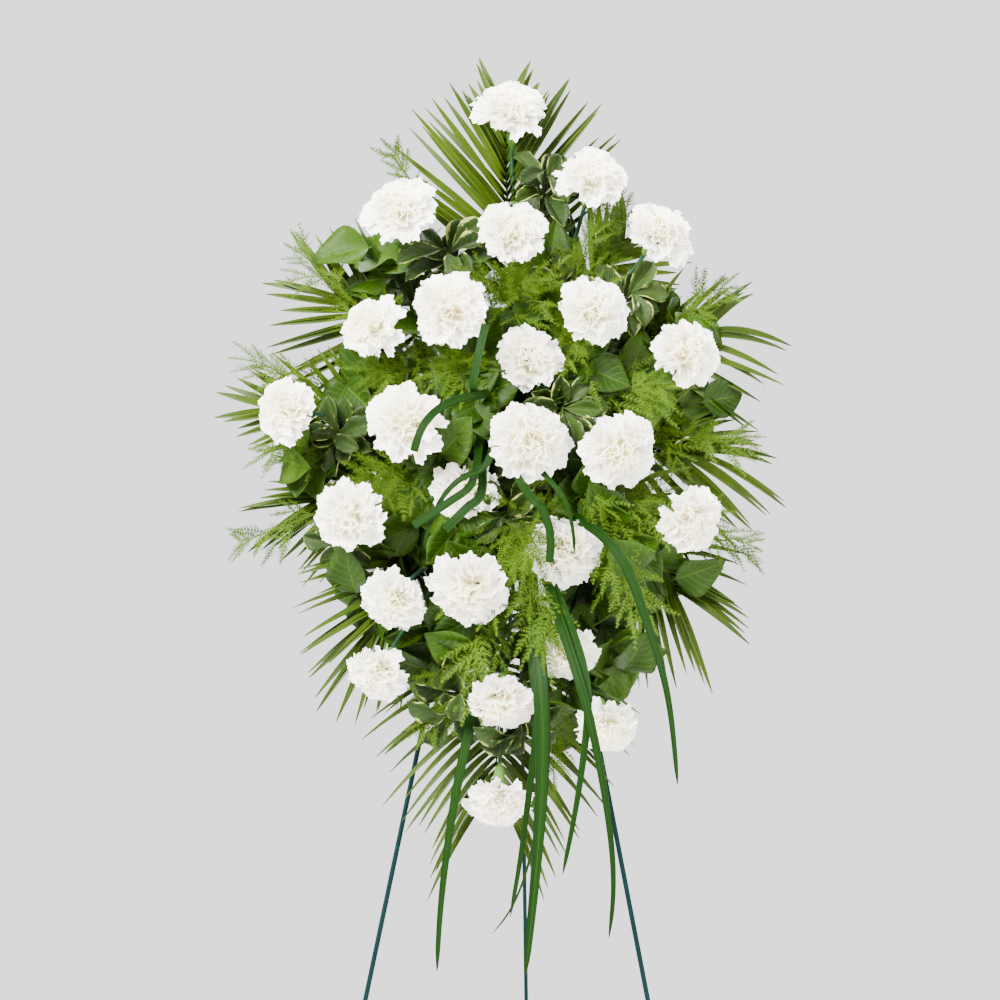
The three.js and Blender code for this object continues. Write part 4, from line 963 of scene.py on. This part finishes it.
# Each sprig: how far right, up and out its end is, and the number and length of its leaves.
SPRIGS = [
    ("lemon_leaf_left", (-14, 6), LEMON, False, [
        (-142, 1258, 80, 5, 62), (-172, 1118, 80, 4, 62), (-236, 1040, 70, 3, 50),
        (-96, 972, 100, 4, 66), (-158, 902, 85, 3, 58), (-84, 828, 85, 3, 60),
    ]),
    ("lemon_leaf_right", (14, 6), LEMON, False, [
        (178, 1192, 75, 3, 54), (126, 1126, 95, 3, 60), (190, 1098, 70, 2, 56),
        (160, 918, 85, 3, 62), (98, 820, 90, 4, 56), (58, 782, 90, 3, 60), (36, 1236, 80, 3, 68),
    ]),
    ("pittosporum_left", (-14, 18), PITTOSPORUM, False, [
        (-68, 1254, 120, 5, 46), (-70, 1128, 125, 5, 44), (-184, 1066, 105, 5, 42),
        (-186, 950, 90, 5, 40), (-62, 776, 110, 5, 46),
    ]),
    ("pittosporum_right", (14, 18), PITTOSPORUM, False, [
        (34, 1336, 95, 5, 46), (120, 1212, 100, 5, 42), (48, 1216, 120, 4, 38),
        (-8, 756, 105, 5, 44),
    ]),
    ("pittosporum_centre", (26, 34), PITTOSPORUM, True, [
        (50, 1092, 165, 7, 46), (-14, 978, 150, 5, 42),
    ]),
    ("lemon_leaf_centre", (-26, 22), LEMON, True, [
        (-30, 1150, 140, 3, 54), (-38, 1104, 140, 3, 54), (66, 1138, 140, 3, 54),
        (-74, 1040, 150, 3, 54), (72, 996, 150, 3, 54), (100, 900, 140, 4, 54),
        (4, 880, 140, 3, 52), (-18, 1214, 116, 5, 60), (22, 1206, 116, 4, 56), (2, 908, 112, 4, 54),
        (-6, 842, 116, 4, 56),
    ]),
]


def greenery_stem(node, seat, front, spot, lean):
    """The way that the stem of a CAD sprig or spray takes to a place right, up and out."""
    across, up, out = spot
    ways = []
    for turn in TURNS:
        right, high = swung(across, up, turn)
        end = at(right, high, out)
        leave = exit_from(seat, end, front, 4 * turn if front else 0)
        ways.append(stem_line(seat, leave, end, outlook(right, high, lean)))
    return nearest(node, ways)


def sprig_leaf(root, way, look, long, wide, kind, tint):
    """One leaf of a sprig. It turns its front as far as it can to where the sprig looks."""
    return root, way, way.cross(look).cross(way).normalized(), Vector((long, wide, long)), kind % 3, tint


for node, seat, kind, front, ends in SPRIGS:
    seat = (*seat, LAYER["front" if front else kind["layer"]])
    lines, leaves = [], []
    more = random.Random(node)
    # The lemon leaves of the centre sprigs, deep among the flowers, keep to the darker part of their tint:
    # painted shade.
    painted_shade = 0.55 if front and kind is LEMON else 1.0
    for i, (across, up, out, count, length) in enumerate(ends):
        line = greenery_stem(node, seat, front, (across, up, out), SPRIG_LEAN_PER_MM)
        lines.append(line)
        numbers = random_numbers(100 * (i + 1) + up)
        look = outlook(across, up, LOOK_PER_MM)
        side = any_side(look)
        other = look.cross(side)
        for k in range(count + kind["top"]):
            root = line[-1].lerp(line[-5], 0.04 + kind["spread"] * min(1, k / count))
            jitter, lift, size = next(numbers), next(numbers), next(numbers)
            turns = [math.tau * (k + 0.4 * jitter) / count + i + 0.35 * attempt for attempt in range(9)]
            if k >= count:
                turns = [math.tau * (k + 0.5) / count + i]
            ahead = look * (0.25 + 0.2 * lift)
            fans = [(side * math.cos(t) + other * math.sin(t) + ahead).normalized() for t in turns]
            long = length * (0.85 + 0.3 * size)
            fan = min(fans, key=lambda way: distance_to(node, [root + way * long * s for s in (0.5, 0.8)]))
            wide = kind["width"] * (0.9 + 0.2 * size)
            leaves.append(sprig_leaf(root, fan, look, long, wide, k, more.random() * painted_shade))
        for k in range(LOWER_LEAVES[front]):
            spot = LOWER_LEAVES_FROM - 2 * (k // 2)
            along = (line[spot + 1] - line[spot]).normalized()
            way = Matrix.Rotation(GOLDEN_ANGLE * k + i, 3, along) @ any_side(along)
            way = (way + along * 0.7).normalized()
            long = length * more.uniform(0.8, 1.05)
            # The lower leaves, inside the spray, keep to the darker part of their tint: painted shade.
            wide, tint = kind["width"], more.random() * 0.6
            leaves.append(sprig_leaf(line[spot], way, look, long, wide, k, tint))
    radii = [[kind["radius"] * (1 - 0.5 * k / (STEM_POINTS - 1)) for k in range(STEM_POINTS)]] * len(lines)
    stand_for(stems_piece(node + "_stems", lines, radii, woody, STALK_SIDES), kind["slot"], node)
    made = leaves_piece(node + "_leaves", leaves, kind["shapes"], kind["finish"])
    stand_for(thickened(made), kind["slot"])


# Asparagus fern
# Feathery bright sprays that fill the gaps between the flowers: a wiry stem with side branches,
# and on each branch flat twigs with two rows of short needles.

# Each spray: how far right, up and out its end is, and the length of its longest twigs.
FERNS = [
    ("fern_left", (-14, -6), False, [
        (-86, 1362, 90, 30), (-200, 1256, 90, 40), (-250, 1150, 85, 40), (-240, 1052, 95, 36),
        (-268, 944, 75, 36), (-84, 776, 105, 36),
    ]),
    ("fern_right", (14, -6), False, [
        (132, 1276, 95, 38), (208, 1216, 90, 36), (224, 1062, 105, 40), (232, 956, 95, 40),
        (40, 734, 95, 34),
    ]),
    ("fern_centre_top", (0, 88), True, [
        (4, 1212, 150, 34), (52, 1164, 150, 32), (-132, 1130, 150, 26), (136, 1122, 150, 32),
        (-56, 1140, 160, 30), (-24, 1204, 140, 30), (-14, 1306, 100, 28),
    ]),
    ("fern_centre_bottom", (-26, -34), True, [
        (-136, 1018, 150, 30), (132, 994, 155, 36), (16, 962, 180, 32), (30, 868, 160, 34),
        (88, 880, 155, 32), (-64, 832, 140, 34),
    ]),
]
FERN_BRANCHES = (8, 10)  # of a spray that leaves the foam by a side, or by its front
FERN_TWIGS = 5
FERN_TUFTS = {"Pairs": 10, "Leaflet_Width": 6.6 * MM, "Rib_Radius": 0.4 * MM, "Unevenness": 0.32}
FERN_SLANTS = (54, 30)
FERN_RIB_STEP = 2
FERN_LEAN_PER_MM = 0.36
FERN_BRANCH_RADIUS = 0.5
FERN_STEM_RADIUS = 1.1
FERN_STEM_SIDES = 5
SHORTEST_TWIG = 8
FERN_REACH = 266  # how far from the middle a twig may end
FERN_GREENS = ((0.005, 0.0185, 0.0001), (0.0416, 0.0817, 0.0001), (0.0416, 0.0772, 0.0002))


def fern_tuft(needles, lean, lift):
    """A tuft of length and width 1: a hair-fine rib with a row of short needles on each side."""
    points, faces = [], []
    for x in [None] + [(k + 0.3) / needles for k in range(needles)]:
        for side in (-1, 1) if x else (0,):
            foot = Vector((x or 0, 0, 0))
            long = 0.5 - 0.3 * (x or 0)
            tip = foot + Vector((lean, side * long, lift * long)) if side else Vector((1, 0, 0))
            half = Vector((0.045, 0, 0)) if side else Vector((0, 0.1, 0))
            points += [foot - half, foot + half, tip]
            faces.append(tuple(range(len(points) - 3, len(points))))
    return points, faces, sides(points)


def bent(root, way, bend, reach):
    """A line of six points that sets out one way and bends."""
    return [root + (way + bend * s) * reach * s for s in (0, 0.2, 0.4, 0.6, 0.8, 1)]


fern_tufts = shapes("fern_tuft", fern_tuft(4, 0.2, 0.3), fern_tuft(3, 0.25, -0.4), fern_tuft(4, 0.15, 0.0))
asparagus_fern = leaf_finish("asparagus_fern", *FERN_GREENS, gloss=0.6)
for node, seat, front, sprays in FERNS:
    seat = (*seat, LAYER["front" if front else "fern"])
    wires, radii, twigs, sizes, faces = [], [], [], [], []
    numbers = random.Random(node)
    for across, up, out, length in sprays:
        line = greenery_stem(node, seat, front, (across, up, out), FERN_LEAN_PER_MM)
        wires.append(line)
        radii.append([FERN_STEM_RADIUS * (1 - 0.7 * k / (STEM_POINTS - 1)) for k in range(STEM_POINTS)])
        rib = resampled(line[STALK_POINTS - 1:], FERN_RIB_STEP)
        for k in range(FERN_BRANCHES[front]):
            share = 0.12 + 0.83 * k / (FERN_BRANCHES[front] - 1)
            spot = round(share * (len(rib) - 2))
            along = (rib[spot + 1] - rib[spot]).normalized()
            side = Matrix.Rotation(GOLDEN_ANGLE * k + up, 3, along) @ any_side(along)
            slant = math.radians(numbers.uniform(30, 60) * (1.2 - share))
            way = along * math.cos(slant) + side * math.sin(slant)
            reach = length * numbers.uniform(1.4, 1.9) * (1.15 - 0.75 * share) * (1 if front else 0.65)
            branch = bent(rib[spot], way, side * numbers.uniform(-0.1, 0.3) - Z_AXIS * 0.15, reach)
            wires.append(branch)
            radii.append([FERN_BRANCH_RADIUS] * len(branch))
            flat = FORWARD + Z_AXIS * numbers.uniform(-0.3, 0.8) + ACROSS * numbers.uniform(-0.4, 0.4)
            flat.normalize()
            for m in range(FERN_TWIGS):
                place = branch[m + 1]
                onward = (place - branch[m]).normalized()
                fork = onward.cross(flat).normalized() * (1 if m % 2 else -1)
                swing = math.radians(0 if m == FERN_TWIGS - 1 else numbers.uniform(35, 60))
                start = onward * math.cos(swing) + fork * math.sin(swing)
                long = numbers.uniform(0.75, 1.3) * length * (1 - 0.08 * m) * (1 if front else 0.7)
                if place.x * start.x > 0:
                    long = min(long, (FERN_REACH - abs(place.x)) / abs(start.x))
                if long < SHORTEST_TWIG:
                    continue
                twigs.append(bent(place, start, onward * 0.25 - Z_AXIS * 0.1, long))
                shares = (0.5, 1, 0.9, 0.75, 0.5, 0.25)
                sizes.append([numbers.uniform(0.9, 1.1) * 0.42 * long * MM * s for s in shares])
                tilt = Vector([numbers.uniform(-0.3, 0.3) for _ in range(3)])
                faces.append([(flat + tilt).normalized()] * 6)
    stems = stems_piece(node + "_stems", wires, radii, asparagus_fern, FERN_STEM_SIDES)
    stand_for(stems, "asparagus_fern", node)
    bare = lines_piece(node + "_twigs", twigs, size=sizes, face=faces)
    tufted = with_leaflets(bare, asparagus_fern, fern_tufts, FERN_SLANTS, Seed=len(sprays), **FERN_TUFTS)
    stand_for(tufted, "asparagus_fern")


# Lily grass
# Long flat straps with a keel along the middle. Those that hang taper to a point, and most of those
# that arch between the flowers are cut off square. Each is given by places that it passes.
HANGING = [
    [(-30, 800, 110), (-48, 710, 98), (-60, 600, 80), (-62, 528, 70)],
    [(26, 840, 165), (30, 740, 150), (22, 620, 110), (12, 526, 85)],
    [(38, 800, 140), (36, 740, 130), (30, 650, 110), (22, 586, 95)],
    [(62, 850, 190), (88, 770, 185), (112, 640, 140), (108, 568, 115)],
    [(94, 850, 190), (102, 775, 182), (100, 700, 150), (94, 636, 125)],
    [(100, 960, 215), (130, 885, 200), (154, 810, 175), (163, 718, 150)],
    [(14, 780, 95), (16, 680, 85), (-8, 600, 70), (-34, 567, 60)],
]
ARCHING = [
    [(-30, 1104, 200), (-60, 1100, 222), (-88, 1078, 240), (-98, 1048, 235)],
    [(-24, 1034, 215), (-50, 1026, 225), (-76, 1000, 220), (-92, 956, 205)],
    [(28, 1010, 220), (44, 1004, 225), (60, 980, 222), (66, 952, 208)],
    [(52, 1026, 215), (66, 1014, 225), (80, 990, 222), (88, 966, 208)],
    [(-28, 1112, 190), (-22, 1132, 200), (-12, 1154, 204), (0, 1178, 200)],
    [(-30, 1014, 224), (-46, 996, 226), (-64, 978, 222), (-84, 960, 212)],
    [(-14, 1004, 214), (-24, 988, 218), (-33, 972, 216), (-42, 956, 208)],
]
GRASS_TRIES = 63
GRASS_LIFT = 12
GRASS_THICKNESS = 0.6
SMOOTHINGS = 40
HANGING_WIDTHS = (11, 16, 9, 9.5, 9.5, 10, 4)
ARCHING_WIDTHS = (8, 8, 8, 7, 8, 8, 9)
GRASS_COLUMNS = 4


def through(points):
    """A smooth line through some points."""
    ends = [points[0] * 2 - points[1], *points, points[-1] * 2 - points[-2]]
    line = []
    for a, b, c, d in zip(ends, ends[1:], ends[2:], ends[3:]):
        for i in range(STEM_STEPS):
            t = i / STEM_STEPS
            square, cube = a * 2 - b * 5 + c * 4 - d, b * 3 - a - c * 3 + d
            line.append(b + (c - a) * (t / 2) + square * (t * t / 2) + cube * (t**3 / 2))
    line.append(points[-1])
    for _ in range(SMOOTHINGS):
        line[1:-1] = [(a + b * 2 + c) / 4 for a, b, c in zip(line, line[1:], line[2:])]
    return line


def grass_line(node, seat, passed):
    """The way that a CAD blade takes from its seat by the places that it passes."""
    ways = []
    for attempt in range(GRASS_TRIES):
        turn, lift = TURNS[attempt % len(TURNS)] / 2, GRASS_LIFT * (attempt // len(TURNS))
        spots = [at(*swung(across, up, turn), out + lift) for across, up, out in passed]
        leave = in_foam(*exit_from(seat, spots[0], True, 2 * turn))
        start = in_foam(*seat)
        free = leave + (leave - start).normalized() * STEM_STRAIGHT
        ways.append([start, *through([free, *spots])])
    return nearest(node, ways)


def strap(line, width, pointed, numbers):
    """A keeled strap along a line: its points, faces, and how far along and across each point is."""
    run = measured(line)
    points, along, edges = [], [], []
    phase, sway = numbers.uniform(0, 6), numbers.uniform(0.1, 0.35)
    for i, spot in enumerate(line):
        share = run[i] / run[-1]
        way = (line[min(i + 1, len(line) - 1)] - line[max(i - 1, 0)]).normalized()
        front = Matrix.Rotation(sway * math.sin(3 * share + phase) * share, 3, way) @ FORWARD
        side = way.cross(front).normalized()
        out = side.cross(way)
        half = width / 2 * min(1, 0.45 + 3 * share)
        if pointed:
            half *= (1 - 1.25 * max(0, share - 0.52)) * (1 - 0.85 * (max(0, share - 0.95) / 0.05) ** 2)
        for k in range(GRASS_COLUMNS + 1):
            u = 2 * k / GRASS_COLUMNS - 1
            points.append(spot + side * half * u + out * 0.25 * half * abs(u))
            along.append(share)
            edges.append(u)
    return points, grid_faces(GRASS_COLUMNS, len(line) - 1), along, edges


def grass_finish():
    grass = Finish("lily_grass", specular_ior_level=0.05)
    edge = grass.attribute("edge")
    cloud = grass.noise(18)
    streaks = (edge * 1.1, grass.attribute("along") * 0.15, grass.attribute("tint") * 9)
    streak = grass.noise(9, 2, vector=streaks).beyond(0.35, 0.65)
    tone = grass.blend(streak, (0.0012, 0.0082, 0.0005), (0.005, 0.021, 0.001))
    keel = 1 - edge.absolute().beyond(0.0, 0.1)
    color = grass.blend(keel * 0.5, tone, (0.0085, 0.031, 0.002))
    return grass.surface(color, 0.28 + 0.25 * cloud, (edge * 40).sine(), 0.0002, 0.6)


lily_grass = grass_finish()
for node, seat, blades, widths, pointed in (
    ("lily_grass_hanging", (8, -50), HANGING, HANGING_WIDTHS, range(len(HANGING))),
    ("lily_grass_arching", (-10, 48), ARCHING, ARCHING_WIDTHS, (1, 3)),
):
    seat = (*seat, LAYER["front"])
    numbers = random.Random(node)
    points, faces, along, edges, tints = [], [], [], [], []
    for i, passed in enumerate(blades):
        blade, sheet, *values = strap(grass_line(node, seat, passed), widths[i], i in pointed, numbers)
        faces += [tuple(v + len(points) for v in face) for face in sheet]
        points += blade
        along += values[0]
        edges += values[1]
        tints += [i / len(blades)] * len(blade)
    piece = points_piece(node + "_blades", points, (), faces, along=along, edge=edges, tint=tints)
    piece.data.materials.append(lily_grass.material)
    piece.data.polygons.foreach_set("use_smooth", [True] * len(piece.data.polygons))
    stand_for(thickened(piece, GRASS_THICKNESS), "lily_grass", node)


# Floor and light
# A pale floor and a white room, with a large soft light on each side of the camera and one above
# the flowers.
FLOOR_HALF = 2.5


def stage_floor():
    corners = [Vector((x, y, 0)) * FLOOR_HALF / MM for x, y in ((-1, -1), (1, -1), (1, 1), (-1, 1))]
    floor = points_piece("floor", corners, (), [(0, 1, 2, 3)])
    paint = Finish("floor_paint")
    cloud = paint.noise(3)
    paint.surface(paint.blend(cloud, (0.8, 0.8, 0.79), (0.86, 0.86, 0.85)), 0.6 + 0.1 * cloud)
    floor.data.materials.append(paint.material)


def soft_light(name, across, up, ahead, size, power):
    light = link(bpy.data.objects.new(name, bpy.data.lights.new(name, "AREA")))
    light.data.shape = "SQUARE"
    light.data.size = size
    light.data.energy = power
    spot = ACROSS * across + FORWARD * ahead + Z_AXIS * up
    light.location = spot
    light.rotation_euler = (Vector((0, 0, 1.0)) - spot).to_track_quat("-Z", "Y").to_euler()


stage_floor()
soft_light("key_light", -1.6, 2.6, 2.4, 1.4, 900)
soft_light("fill_light", 2.2, 1.4, 2.2, 1.8, 240)
soft_light("top_light", 0.2, 3.0, -0.6, 1.4, 260)
world = bpy.data.worlds.new("room")
bpy.context.scene.world = world
world.use_nodes = True
world.node_tree.nodes["Background"].inputs["Color"].default_value = (1, 1, 1, 1)
world.node_tree.nodes["Background"].inputs["Strength"].default_value = 1.9
